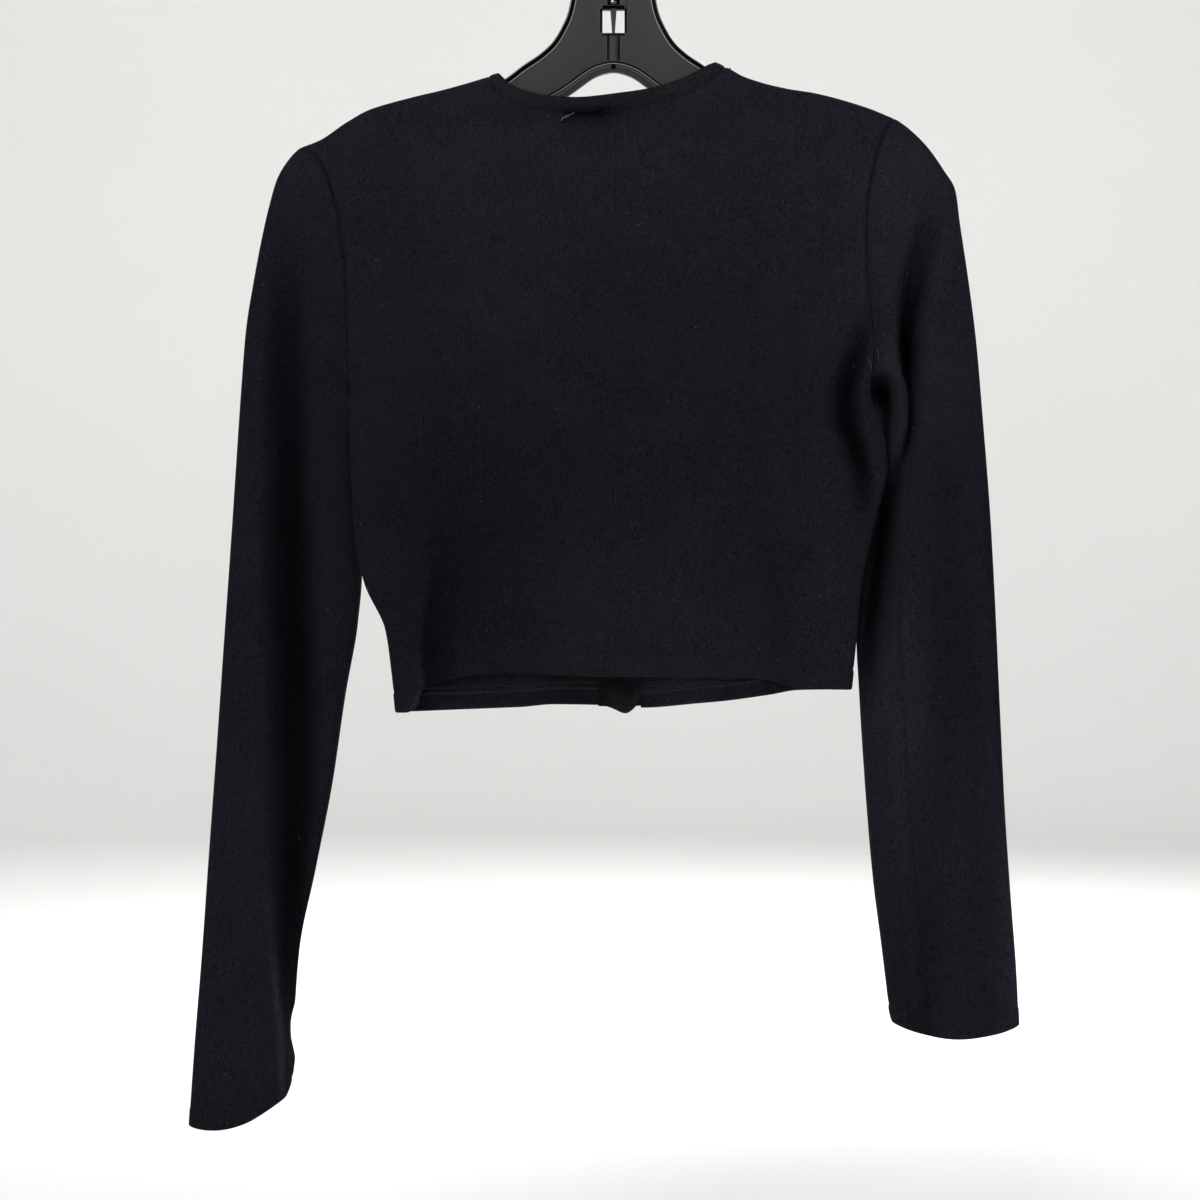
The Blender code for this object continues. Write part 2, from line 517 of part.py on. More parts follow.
def add_neckband():
    """One folded strip: up the left front's neck edge, round the back neck and down the
    right front's. Its points lie on the body's own form, inside the panels' edges."""
    parts = []
    for neck_point, neck_edge, order in ((NECK_POINT_LEFT, LEFT_NECK_EDGE, -1),
                                         (NECK_POINT_RIGHT, RIGHT_NECK_EDGE, 1)):
        drop = front_neck_rows(neck_point, neck_edge)[::order]
        across = table_read(drop, neck_edge, "drop", "across")
        way = inward(across, drop)
        foot = 0 if order < 0 else -1
        way[foot] = (-order, 0)
        parts.append([across, drop, way, np.full(len(drop), 1.0)])
    across, drop = path_through(BACK_NECK, NECK_COLUMNS)
    back = [across, drop, inward(across, drop), np.full(NECK_COLUMNS, -1.0)]
    left, right = parts
    corners = [unit(left[2][-1] + back[2][0]), unit(right[2][0] + back[2][-1])]
    across = np.concatenate([left[0], back[0][1:-1], right[0]])
    drop = np.concatenate([left[1], back[1][1:-1], right[1]])
    way = np.concatenate([left[2], back[2][1:-1], right[2]])
    side = np.concatenate([left[3], back[3][1:-1], right[3]])
    first, last = len(left[0]) - 1, len(left[0]) + NECK_COLUMNS - 2
    way[first], way[last] = corners
    wide = np.full(len(across), BAND_WIDE)
    wide[[first, last]] = BAND_WIDE_AT_RIDGE
    reach = SEAM_GAP + wide[:, None] * np.array([0, 0.5, 1])
    strip_across = across[:, None] + way[:, :1] * reach
    strip_drop = drop[:, None] + way[:, 1:] * reach
    y = np.where(side[:, None] < 0, body_depth(strip_across, strip_drop, -1),
                 body_depth(strip_across, strip_drop, 1))
    y[[first, last]] = 0
    outer = place(strip_across, y, strip_drop)
    normals = np.where(side[:, None, None] < 0, body_normals(strip_across, strip_drop, -1),
                       body_normals(strip_across, strip_drop, 1))
    normals[[first, last], :, 1] = 0
    return add_wall("neckband", outer, outer - unit(normals) * BAND_CLOTH, KNIT_BAND)


def add_front_band(name, span, lows, out, cloth):
    """A folded strip down a centre edge. It is made from the front's own points, moved
    out, and `lows` gives its lower edge."""
    top = front_neck_rows(NECK_POINT_LEFT, LEFT_NECK_EDGE)[-1]
    top = max(top, front_neck_rows(NECK_POINT_RIGHT, RIGHT_NECK_EDGE)[-1]) + 2 * SEAM_GAP
    across = np.array([row.across for row in lows])[None, :]
    low = np.array([row.drop for row in lows])[None, :]
    drop = top + (low - top) * np.linspace(0, 1, FRONT_BAND_ROWS)[:, None]
    across = np.clip(across, *span) + 0 * drop
    outer = place(across, body_depth(across, drop, 1) + out, drop)
    return add_wall(name, outer, outer - body_normals(across, drop, 1) * cloth, KNIT_BAND)


def add_sleeve(name, rings, folds, edge):
    """A sleeve tube: rings that turn from the armhole's plane to the cuff's."""
    outer_x, outer_drop, inner_x, inner_drop, inner_set, deep, square = columns(rings)
    way = np.sign(outer_x[0])
    t = np.linspace(0, 1, SLEEVE_ROWS)[:, None]
    half = np.array(armhole_rows(outer_drop[0], inner_drop[0]))
    half = (half - outer_drop[0]) / (inner_drop[0] - outer_drop[0])
    s = np.concatenate([half, half[-2:0:-1]])[None, :]
    angle = np.arccos(np.clip(1 - 2 * s, -1, 1)) * np.where(np.arange(s.size) < len(half), 1, -1)

    def read(values):
        return smooth_read(t, np.linspace(0, 1, len(rings)), values)

    bulge = np.abs(np.sin(angle))
    near = np.where(np.sin(angle) > 0, 1.0, -1.0)
    across = read(outer_x) + (read(inner_x) - read(outer_x)) * s
    drop = read(outer_drop) + (read(inner_drop) - read(outer_drop)) * s
    y = -near * read(deep) * bulge ** read(square)
    y = y + (near > 0) * bulge * fold_offset(across, drop, folds)

    hole_drop = outer_drop[0] + (inner_drop[0] - outer_drop[0]) * s
    hole_across = edge(hole_drop)
    hole_y = np.where(near > 0, body_depth(hole_across, hole_drop, -1),
                      body_depth(hole_across, hole_drop, 1))
    hole_y = np.where(bulge < 1e-4, 0, hole_y)
    fade = 1 - ease(t / ARMHOLE_BLEND)
    straight = outer_x[0] + (inner_x[0] - outer_x[0]) * s
    across = across + fade * (hole_across - straight) + way * SEAM_GAP
    y = y + fade * (hole_y - y) + read(inner_set) * s
    bow = CUFF_BOW * ease((t - 1 + CUFF_BOW_RUN) / CUFF_BOW_RUN) * bulge ** 2
    drop = drop + bow * (near > 0)

    outer = place(across, y, drop)
    normals = tube_normals(outer)
    normals[0] = np.where(near[0, :, None] > 0, armhole_normals(hole_drop[0], -1, edge),
                          armhole_normals(hole_drop[0], 1, edge))
    normals[0, [0, len(half) - 1]] = (0, 0, 1), (0, 0, -1)
    return add_wall(name, outer, outer - normals * CLOTH, KNIT, wraps=True)


def add_button(name, drop):
    """A turned button with a raised rim, on the buttonhole band."""
    turn = np.linspace(0, 2 * np.pi, BUTTON_SIDES, endpoint=False)
    radius, height = columns(BUTTON_PROFILE)
    middle = sum(BUTTONHOLE_BAND_SPAN) / 2
    base = body_depth(np.array(middle), np.array(drop), 1) + BUTTONHOLE_BAND_OUT + SEAM_GAP + 0.1
    rings = np.stack([middle + radius[:, None] * np.cos(turn),
                      np.broadcast_to(base + height[:, None], (len(radius), BUTTON_SIDES)),
                      -drop + radius[:, None] * np.sin(turn)], axis=-1)
    return rings_solid(name, rings, BUTTON_PLASTIC)


# Hanger

def add_box(name, low, high):
    """A box between two corners in millimetres, for cutting or joining."""
    (x0, y0, z0), (x1, y1, z1) = low, high
    floor = np.array([(x0, y0), (x1, y0), (x1, y1), (x0, y1)])
    rings = np.stack([np.column_stack([floor, np.full(4, z)]) for z in (z0, z1)])
    return rings_solid(name, rings, HANGER_PLASTIC)


def add_rod(name, radius, low, high, sides=16):
    """An upright rod on the hanger's centreline, for cutting."""
    turn = np.linspace(0, 2 * np.pi, sides, endpoint=False)
    rings = np.stack([np.column_stack([radius * np.cos(turn), radius * np.sin(turn),
                                       np.full(sides, z)]) for z in (low, high)])
    return rings_solid(name, rings, HANGER_PLASTIC)


def use_tool(piece, tool, operation):
    """A Boolean with a hidden tool object."""
    tool.hide_render = True
    tool.display_type = "WIRE"
    step = piece.modifiers.new(tool.name, "BOOLEAN")
    step.operation = operation
    step.solver = "EXACT"
    step.object = tool


def add_hanger_body():
    """The moulded body: a web with a flange round its outline, lofted from arm tip to arm
    tip through sections of 12 points, then joined to its boss and rib, and cut."""
    top, top_drop, low, low_drop, low_flange = columns(HANGER_HALF)
    mirrored = [np.concatenate([-column[::-1], column]) for column in (top, low)]
    drops = [np.concatenate([column[::-1], column]) for column in (top_drop, low_drop)]
    upper = np.column_stack([mirrored[0], drops[0]])
    lower = np.column_stack([mirrored[1], drops[1]])

    def moved_in(curve, distance):
        along = unit(np.gradient(curve, axis=0))
        return curve + distance * np.column_stack([-along[:, 1], along[:, 0]])

    low_flange = np.concatenate([low_flange[::-1], low_flange])[:, None]
    upper_in, lower_in = moved_in(upper, FLANGE), moved_in(lower, -low_flange)
    half = np.full(len(upper), HANGER_WEB_HALF)
    half[[0, -1]] = HANGER_HALF_DEPTH
    rim = np.full(len(upper), HANGER_HALF_DEPTH)
    corners = [(upper, -rim), (upper_in, -rim), (upper_in, -half), (lower_in, -half),
               (lower_in, -rim), (lower, -rim), (lower, rim), (lower_in, rim),
               (lower_in, half), (upper_in, half), (upper_in, rim), (upper, rim)]
    rings = np.stack([np.column_stack([curve[:, 0], y, -curve[:, 1]]) for curve, y in corners], axis=1)
    body = rings_solid("hanger_body", rings, HANGER_PLASTIC)
    boss_deep = HANGER_HALF_DEPTH - BOSS_UNDER_RIM
    cut_deep = HANGER_HALF_DEPTH + THROUGH
    boss = add_box("boss", (-BOSS_HALF, -boss_deep, -WINDOW_TOP),
                   (BOSS_HALF, boss_deep, -BOSS_TOP))
    rib = add_box("rib", (-RIB_HALF, -RIB_HALF_DEPTH, -RIB_LOW),
                  (RIB_HALF, RIB_HALF_DEPTH, -WINDOW_LOW + JOIN))
    use_tool(body, boss, "UNION")
    use_tool(body, rib, "UNION")
    window = add_box("window", (-WINDOW_HALF, -cut_deep, -WINDOW_LOW),
                     (WINDOW_HALF, cut_deep, -WINDOW_TOP))
    notch = add_box("notch", (-RIVET_HALF, -cut_deep, -WINDOW_TOP - JOIN),
                    (RIVET_HALF, cut_deep, -RIVET_TOP))
    bore = add_rod("bore", BORE_RADIUS, -RIVET_TOP - JOIN, THROUGH - BOSS_TOP)
    for tool in (window, notch, bore):
        use_tool(body, tool, "DIFFERENCE")
    return body


def add_hook():
    """Steel wire: a riveted foot, a straight stem, a bend and a round hook."""
    turn = np.radians(np.linspace(HOOK_FROM, HOOK_TO, HOOK_POINTS))
    centre = WIRE_RADIUS - HOOK_RADIUS
    bend = columns(HOOK_STEM)
    x = np.concatenate([bend[0], HOOK_RADIUS * np.cos(turn)])
    z = np.concatenate([-bend[1], centre + HOOK_RADIUS * np.sin(turn)])
    radius = np.concatenate([bend[2], np.full(len(turn), WIRE_RADIUS)])
    radius[-1] = WIRE_RADIUS * HOOK_TIP
    along = unit(np.column_stack([np.gradient(x), np.gradient(z)]))
    along[x == 0] = (0, 1)
    around = np.linspace(0, 2 * np.pi, HOOK_SIDES, endpoint=False)
    rings = np.stack([x[:, None] - along[:, 1:] * radius[:, None] * np.cos(around),
                      radius[:, None] * np.sin(around) + 0 * x[:, None],
                      z[:, None] + along[:, :1] * radius[:, None] * np.cos(around)], axis=-1)
    return rings_solid("hanger_hook", rings, STEEL)


def main():
    for old in list(bpy.data.objects):
        bpy.data.objects.remove(old)
    add_back()
    add_front("front_left", RIDGE[0], NECK_POINT_LEFT, FRONT_HEM[0], left_edge, LEFT_NECK_EDGE)
    add_front("front_right", RIDGE[-1], NECK_POINT_RIGHT, FRONT_HEM[-1], right_edge,
              RIGHT_NECK_EDGE)
    add_neckband()
    add_front_band("button_band", BUTTON_BAND_SPAN, BUTTON_BAND_LOW, BUTTON_BAND_OUT,
                   BUTTON_BAND_CLOTH)
    add_front_band("buttonhole_band", BUTTONHOLE_BAND_SPAN, BUTTONHOLE_BAND_LOW,
                   BUTTONHOLE_BAND_OUT, BAND_CLOTH)
    add_sleeve("sleeve_left", LEFT_SLEEVE, LEFT_SLEEVE_FOLDS, left_edge)
    add_sleeve("sleeve_right", RIGHT_SLEEVE, RIGHT_SLEEVE_FOLDS, right_edge)
    for number, drop in enumerate(np.linspace(BUTTON_FIRST_DROP, BUTTON_LAST_DROP, BUTTON_COUNT)):
        add_button(f"button_{number + 1}", drop)
    add_hanger_body()
    add_hook()


main()
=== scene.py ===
"""Cropped cardigan on a moulded hanger: knitted cloth, sewing, buttons and finishes.

Tables are in millimetres: `across` is X and `drop` is the distance below the origin,
where the hook hangs. The garment's back faces -Y and its buttoned front +Y, and the
camera looks along +Y. Cloth is a thin wall between an outer and an inner grid.
"""

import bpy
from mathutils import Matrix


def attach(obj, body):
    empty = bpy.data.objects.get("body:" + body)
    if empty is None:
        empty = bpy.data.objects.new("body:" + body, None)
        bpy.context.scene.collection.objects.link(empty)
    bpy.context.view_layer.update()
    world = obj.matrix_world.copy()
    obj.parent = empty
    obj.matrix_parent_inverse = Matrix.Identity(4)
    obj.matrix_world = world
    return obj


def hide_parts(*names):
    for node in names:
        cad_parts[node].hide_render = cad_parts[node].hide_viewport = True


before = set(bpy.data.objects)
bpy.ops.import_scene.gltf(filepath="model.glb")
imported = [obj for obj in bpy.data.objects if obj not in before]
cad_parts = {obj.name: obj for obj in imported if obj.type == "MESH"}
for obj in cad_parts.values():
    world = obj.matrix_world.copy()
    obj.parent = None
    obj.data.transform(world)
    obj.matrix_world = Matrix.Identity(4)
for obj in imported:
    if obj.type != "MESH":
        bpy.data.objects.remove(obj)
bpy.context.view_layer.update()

from collections import namedtuple

import bpy
import numpy as np

MM = 0.001
BODY = "root"

# The garment's form, as its solids have it

SEAM_GAP = 0.3
CLOTH, HEM_CLOTH, BAND_CLOTH, BUTTON_BAND_CLOTH = 1.6, 2.6, 2.0, 1.8
HEM_TURN = 13.0
RIDGE_ROUND = 8.0
SIDE_POWER = 2.6

Along = namedtuple("Along", "drop across")
LEFT_EDGE = [Along(188.6, -198.4), Along(196.9, -187.5), Along(214, -179.5), Along(241.5, -173.0),
             Along(270, -169.8), Along(327, -169.0), Along(344.7, -169.0), Along(407, -167.2),
             Along(439, -165.3), Along(467, -158.9), Along(496, -145.8), Along(522, -142.0),
             Along(548.5, -139.2)]
RIGHT_EDGE = [Along(170.2, 178.0), Along(178, 173.2), Along(203, 164.7), Along(232, 160.4),
              Along(254, 159.8), Along(280, 161.5), Along(318, 165.6), Along(337.7, 165.4),
              Along(343.5, 164.6), Along(350, 165.4), Along(356.5, 167.8), Along(368.5, 172.0),
              Along(381.5, 174.3), Along(394, 174.9), Along(407, 172.3),
              Along(433, 165.9), Along(467, 158.9), Along(503, 155.1), Along(534, 151.9)]
LEFT_SHOULDER_DROP, LEFT_ARMPIT_DROP = 188.6, 344.7
RIGHT_SHOULDER_DROP, RIGHT_ARMPIT_DROP = 170.2, 337.7

Line = namedtuple("Line", "across drop")
RIDGE = [Line(-198.4, 188.6), Line(-187, 184.2), Line(-169.8, 172.7), Line(-155, 164.6),
         Line(-126.4, 156.4), Line(-109, 152.3), Line(-92, 147.6), Line(-80.5, 144.0),
         Line(-73.4, 141.3), Line(0, 137.0), Line(62, 134.6), Line(72, 137.8),
         Line(83.8, 144.0), Line(109, 151.1), Line(128, 154.2), Line(160, 163.0),
         Line(178, 170.2)]
BACK_NECK = [Line(-80.5, 144.0), Line(-75.0, 155.0), Line(-60, 163.6), Line(-43.6, 167.3),
             Line(-24.5, 168.6), Line(6.7, 165.6), Line(27.7, 161.9), Line(45.5, 156.4),
             Line(58.3, 150.2), Line(67.5, 143.6), Line(72, 137.8)]
BACK_HEM = [Line(-139.2, 548.5), Line(-131.5, 548.3), Line(-126.5, 546.0), Line(-123.2, 540.6),
            Line(-120.3, 533.4), Line(-116.5, 531.2), Line(-109.9, 529.0), Line(-92.7, 525.3),
            Line(-72.3, 523.4), Line(-10, 525.3), Line(55, 525.9), Line(93, 526.6),
            Line(118, 533.0), Line(151.9, 534.0)]
FRONT_HEM = [Line(-139.2, 548.5), Line(-103.5, 547.4), Line(-60, 545.8), Line(-39, 544.1),
             Line(0, 544.9), Line(19.4, 546.3), Line(55, 543.4), Line(77, 541.2), Line(102, 537.6),
             Line(118, 534.8), Line(151.9, 534.0)]

Depth = namedtuple("Depth", "drop back front")
DEPTH = [Depth(134, 11.0, 10.5), Depth(170, 12.0, 11.0), Depth(220, 14.0, 12.5),
         Depth(300, 17.0, 15.5), Depth(400, 19.0, 17.0), Depth(550, 20.0, 19.0)]
ARMHOLE_TOP, ARMHOLE_DEEP, ARMHOLE_TURN = 9.5, 14.5, 0.55
SIDE_BACK, SIDE_BACK_RUN = 4.0, 50.0
UNDERARM_ABOVE, UNDERARM_RUN, UNDERARM_WIDE = 75.0, 150.0, 22.0

NECK_POINT_LEFT, NECK_POINT_RIGHT = Line(-80.5, 144.0), Line(72.0, 137.8)
VEE_DROP = 290.0
LEFT_NECK_EDGE = [Along(144, -80.5), Along(158, -77.0), Along(200, -58.5), Along(240, -35.5),
                  Along(272, -15.5), Along(VEE_DROP, -9.0), Along(300, -9.0), Along(560, -9.0)]
RIGHT_NECK_EDGE = [Along(137.8, 72.0), Along(152, 69.5), Along(200, 52.0), Along(240, 34.5),
                   Along(272, 21.5), Along(VEE_DROP, 17.7), Along(300, 17.7), Along(560, 17.7)]
BUTTON_BAND_SPAN, BUTTONHOLE_BAND_SPAN = (-10.0, 18.9), (-9.6, 18.9)
BUTTON_BAND_OUT, BUTTONHOLE_BAND_OUT = -0.9, 1.4
BAND_WIDE, BAND_WIDE_AT_RIDGE = 9.5, 7.5
NECK_MIDDLE = Line(-5.0, 100.0)
BUTTON_BAND_LOW = [Line(-10.0, 543.2), Line(-0.5, 546.8), Line(8.0, 550.0), Line(12.6, 547.4),
                   Line(18.9, 539.0)]
BUTTONHOLE_BAND_LOW = [Line(-9.6, 545.4), Line(0, 545.6), Line(9, 545.6), Line(18.9, 545.0)]
BUTTON_DROPS = np.linspace(296.0, 532.0, 5)

LOOSE_THREADS = [
    ([Line(-33.4, 174.3), Line(-30.5, 171.2), Line(-27.6, 169.6), Line(-24.9, 168.6)], 0.19),
    ([Line(-33.0, 172.4), Line(-30.0, 171.6), Line(-28.2, 170.6)], 0.16),
    ([Line(161.0, 324.6), Line(162.6, 327.8), Line(163.2, 330.8)], 0.07),
    ([Line(166.4, 318.6), Line(167.6, 321.6), Line(167.2, 324.8)], 0.06),
]
FOOT_STITCHES = [Line(16.5, 537.5), Line(13.6, 541.6), Line(11.0, 544.6), Line(8.5, 546.5)]

# Folds, placed one by one. Each row says where the fold's middle is at that drop, how far it
# reaches to its left and right, and how deep it is there; a negative depth is a ridge.
# The powers say how steep its sides are: 2 is a soft bell and 6 almost a cliff.
Fold = namedtuple("Fold", "drop across left right depth")
Crease = namedtuple("Crease", "left_power right_power rows")
BACK_FOLDS = [
    # beside the flap at the left side, down to the hem
    Crease(5, 2.0, [
        Fold(400, -108, 8, 20, 0), Fold(438, -105, 9, 22, 3.6), Fold(462, -106, 9, 20, 6.0),
        Fold(487, -110.5, 8, 18, 7.8), Fold(506, -113.7, 7, 17, 9.2),
        Fold(522, -115.2, 5.2, 15, 9.6), Fold(538, -115.4, 4.0, 14, 8.8),
        Fold(552, -115.6, 4.0, 14, 8.6)
    ]),
    Crease(2, 2, [
        Fold(490, -124, 3, 2.5, 0), Fold(512, -123.5, 3, 2.2, -1.0), Fold(528, -122.8, 3, 2, -2.6),
        Fold(548, -123.4, 3, 2, -3.4)
    ]),
    # crescent below and beside the right armhole
    Crease(2.6, 2.6, [
        Fold(288, 163, 7, 5, 0), Fold(311.6, 157.5, 7, 7, 9.0), Fold(330.7, 152, 8.5, 8, 13.0),
        Fold(346.6, 147.5, 9, 9, 14.0), Fold(362.5, 147.5, 9.5, 9, 14.0),
        Fold(381.7, 154.5, 9, 7, 14.0), Fold(400.8, 159, 8, 6, 11.0), Fold(425, 161, 7, 5, 4.0),
        Fold(450, 160, 6, 5, 0)
    ]),
    # soft upright creases on the right
    Crease(2, 2, [
        Fold(270, 112, 5, 9, 0), Fold(312, 116, 5, 10, 1.5), Fold(350, 119, 6, 10, 1.8),
        Fold(395, 124, 7, 10, 0)
    ]),
    Crease(2, 2, [Fold(255, 109, 5, 3, 0), Fold(315, 111, 5, 3, -0.9), Fold(385, 119, 5, 3, 0)]),
    Crease(2, 2, [
        Fold(405, 98, 9, 14, 0), Fold(450, 103, 9, 13, 2.2), Fold(500, 110, 8, 11, 3.0),
        Fold(530, 110, 8, 11, 2.2)
    ]),
    # dent and short crease under the neckband
    Crease(6, 4, [
        Fold(164, -14, 16, 19, 0), Fold(167.5, -14, 16, 19, 3.0), Fold(170, -14, 16, 19, 7.2),
        Fold(173, -15, 15, 18, 6.6), Fold(177, -14, 16, 20, 3.0), Fold(186, -12, 18, 21, 1.8),
        Fold(197, -10, 20, 20, 0)
    ]),
    Crease(2, 2, [
        Fold(170, -29, 1.8, 2.4, 0), Fold(178, -28.5, 1.8, 2.4, 0.9), Fold(196, -28, 2, 2.6, 0)
    ]),
    # drag lines from the shoulder points and across the yoke
    Crease(2, 2, [
        Fold(178, -150, 12, 16, 0), Fold(215, -146, 12, 18, 1.1), Fold(262, -150, 11, 15, 0)
    ]),
    Crease(2, 2, [Fold(190, 138, 15, 10, 0), Fold(222, 140, 14, 9, 1.0), Fold(262, 146, 12, 8, 0)]),
    Crease(2, 2, [
        Fold(230, -60, 40, 44, 0), Fold(300, -64, 44, 46, -1.6), Fold(390, -56, 44, 44, 0)
    ]),
    Crease(2, 2, [
        Fold(330, 30, 30, 34, 0), Fold(420, 24, 34, 36, 1.3), Fold(520, 20, 34, 34, 0.4)
    ]),
    Crease(2, 2, [
        Fold(380, -150, 7, 10, 0), Fold(408, -146, 7, 10, 1.5), Fold(450, -139, 7, 9, 0)
    ]),
]
FRONT_FOLDS = [
    Crease(2, 2, [
        Fold(250, -128, 12, 13, 0), Fold(320, -120, 12, 14, 4.0), Fold(400, -118, 12, 15, 4.6),
        Fold(500, -122, 10, 13, 3.0), Fold(550, -124, 10, 12, 1.8)
    ]),
    Crease(2, 2, [
        Fold(255, 138, 13, 10, 0), Fold(330, 128, 14, 11, 4.4), Fold(400, 125, 13, 11, 3.0),
        Fold(450, 123, 12, 10, 0)
    ]),
    Crease(2, 2, [Fold(200, -98, 14, 9, 0), Fold(245, -88, 14, 9, 2.0), Fold(300, -72, 14, 10, 0)]),
    Crease(2, 2, [Fold(195, 96, 9, 14, 0), Fold(240, 84, 9, 14, 1.9), Fold(300, 70, 9, 13, 0)]),
    Crease(2, 2, [
        Fold(420, -62, 12, 16, 0), Fold(480, -58, 12, 16, 2.2), Fold(550, -60, 11, 14, 2.8)
    ]),
    Crease(2, 2, [
        Fold(430, 70, 14, 12, 0), Fold(490, 66, 14, 12, 2.1), Fold(550, 68, 13, 12, 2.6)
    ]),
    Crease(2, 2, [Fold(300, -30, 9, 8, 0), Fold(350, -28, 9, 8, 1.2), Fold(410, -30, 9, 8, 0)]),
    Crease(2, 2, [Fold(320, 38, 8, 9, 0), Fold(370, 37, 8, 9, 1.1), Fold(430, 40, 8, 9, 0)]),
]
LEFT_SLEEVE_FOLDS = [
    # the long fold, a soft slope above and a crisp edge below
    Crease(3.4, 2.6, [
        Fold(218, -208, 10, 10, 0), Fold(252, -207.5, 10, 11, 3.0), Fold(286, -207.5, 9.5, 13, 7.5),
        Fold(337, -206, 12.5, 14, 10.5), Fold(388, -204.5, 14, 13, 12.0),
        Fold(440, -204, 15, 14.5, 13.0), Fold(490, -203.5, 15, 15, 13.0),
        Fold(541, -201.5, 15, 15.5, 13.0), Fold(592, -201.5, 14.5, 15.5, 13.0),
        Fold(643, -203.5, 10.5, 13.5, 13.0), Fold(694, -206, 7.6, 11, 11.5),
        Fold(722, -206.8, 5.2, 10, 9.0), Fold(736, -207.0, 4.0, 9, 6.0),
        Fold(750, -206.4, 3.0, 8, 1.8), Fold(772, -205.6, 2.8, 7, 0.8),
        Fold(790, -206.0, 2.8, 7, 0.8), Fold(830, -205.5, 2.8, 7, 0.8)
    ]),
    Crease(2, 2, [
        Fold(205, -200, 6, 6, 0), Fold(232, -193, 7, 7, 1.4), Fold(268, -186, 7, 7, 1.6),
        Fold(310, -181, 6, 6, 0)
    ]),
    Crease(2, 2, [Fold(240, -220, 5, 7, 0), Fold(330, -226, 5, 7, 0.8), Fold(430, -231, 5, 7, 0)]),
    Crease(2, 2, [
        Fold(600, -240, 8, 10, 0), Fold(680, -243, 8, 10, 0.9), Fold(760, -246, 8, 9, 0)
    ]),
    Crease(2, 3, [
        Fold(640, -218, 4, 2.4, 0), Fold(690, -215.8, 3, 1.6, -1.6),
        Fold(731, -212.2, 2.4, 1.4, -2.0), Fold(760, -209.8, 2.0, 1.2, -2.2),
        Fold(785, -209.4, 2.0, 1.2, -2.0), Fold(830, -209.4, 2.0, 1.2, -1.0)
    ]),
]
# Painted highlights along fold edges, in the same kind of table; here a depth of 1 nearly doubles the tone
LEFT_SLEEVE_PAINTED_HIGHLIGHTS = [
    Crease(2, 4, [
        Fold(650, -218, 4, 2.0, 0), Fold(700, -214.4, 3.4, 1.5, 0.5),
        Fold(732, -212.0, 2.8, 1.3, 1.2), Fold(752, -209.9, 2.6, 1.2, 1.2),
        Fold(775, -209.4, 2.6, 1.2, 1.25), Fold(790, -209.4, 2.6, 1.2, 1.2),
        Fold(830, -209.4, 2.6, 1.2, 0.6)
    ]),
    Crease(2, 2, [
        Fold(742, -205.5, 3, 6, 0), Fold(758, -205.5, 3, 6, 0.4), Fold(830, -205.5, 3, 6, 0.4)
    ]),
]
# Painted highlight down the right sleeve's outer edge
RIGHT_SLEEVE_PAINTED_HIGHLIGHTS = [
    Crease(2, 2, [
        Fold(560, 247, 3, 6, 0), Fold(620, 249.5, 3.5, 6, 0.25), Fold(690, 252.5, 3.5, 6, 0.6),
        Fold(750, 256.5, 3.5, 6, 0.5)
    ]),
]
# Painted highlight along the edge of the back's flap at the left of the hem
BACK_PAINTED_HIGHLIGHTS = [
    Crease(2, 4, [
        Fold(496, -121.0, 1.8, 0.9, 0), Fold(520, -120.9, 1.8, 0.9, 0.45),
        Fold(532, -120.6, 1.8, 1.2, 0.9), Fold(537, -122.2, 2.2, 2.4, 1.2),
        Fold(541, -124.0, 2.4, 2.8, 1.2), Fold(545, -127.0, 3.4, 4.0, 1.0),
        Fold(549, -129.5, 5, 5, 0.8)
    ]),
]
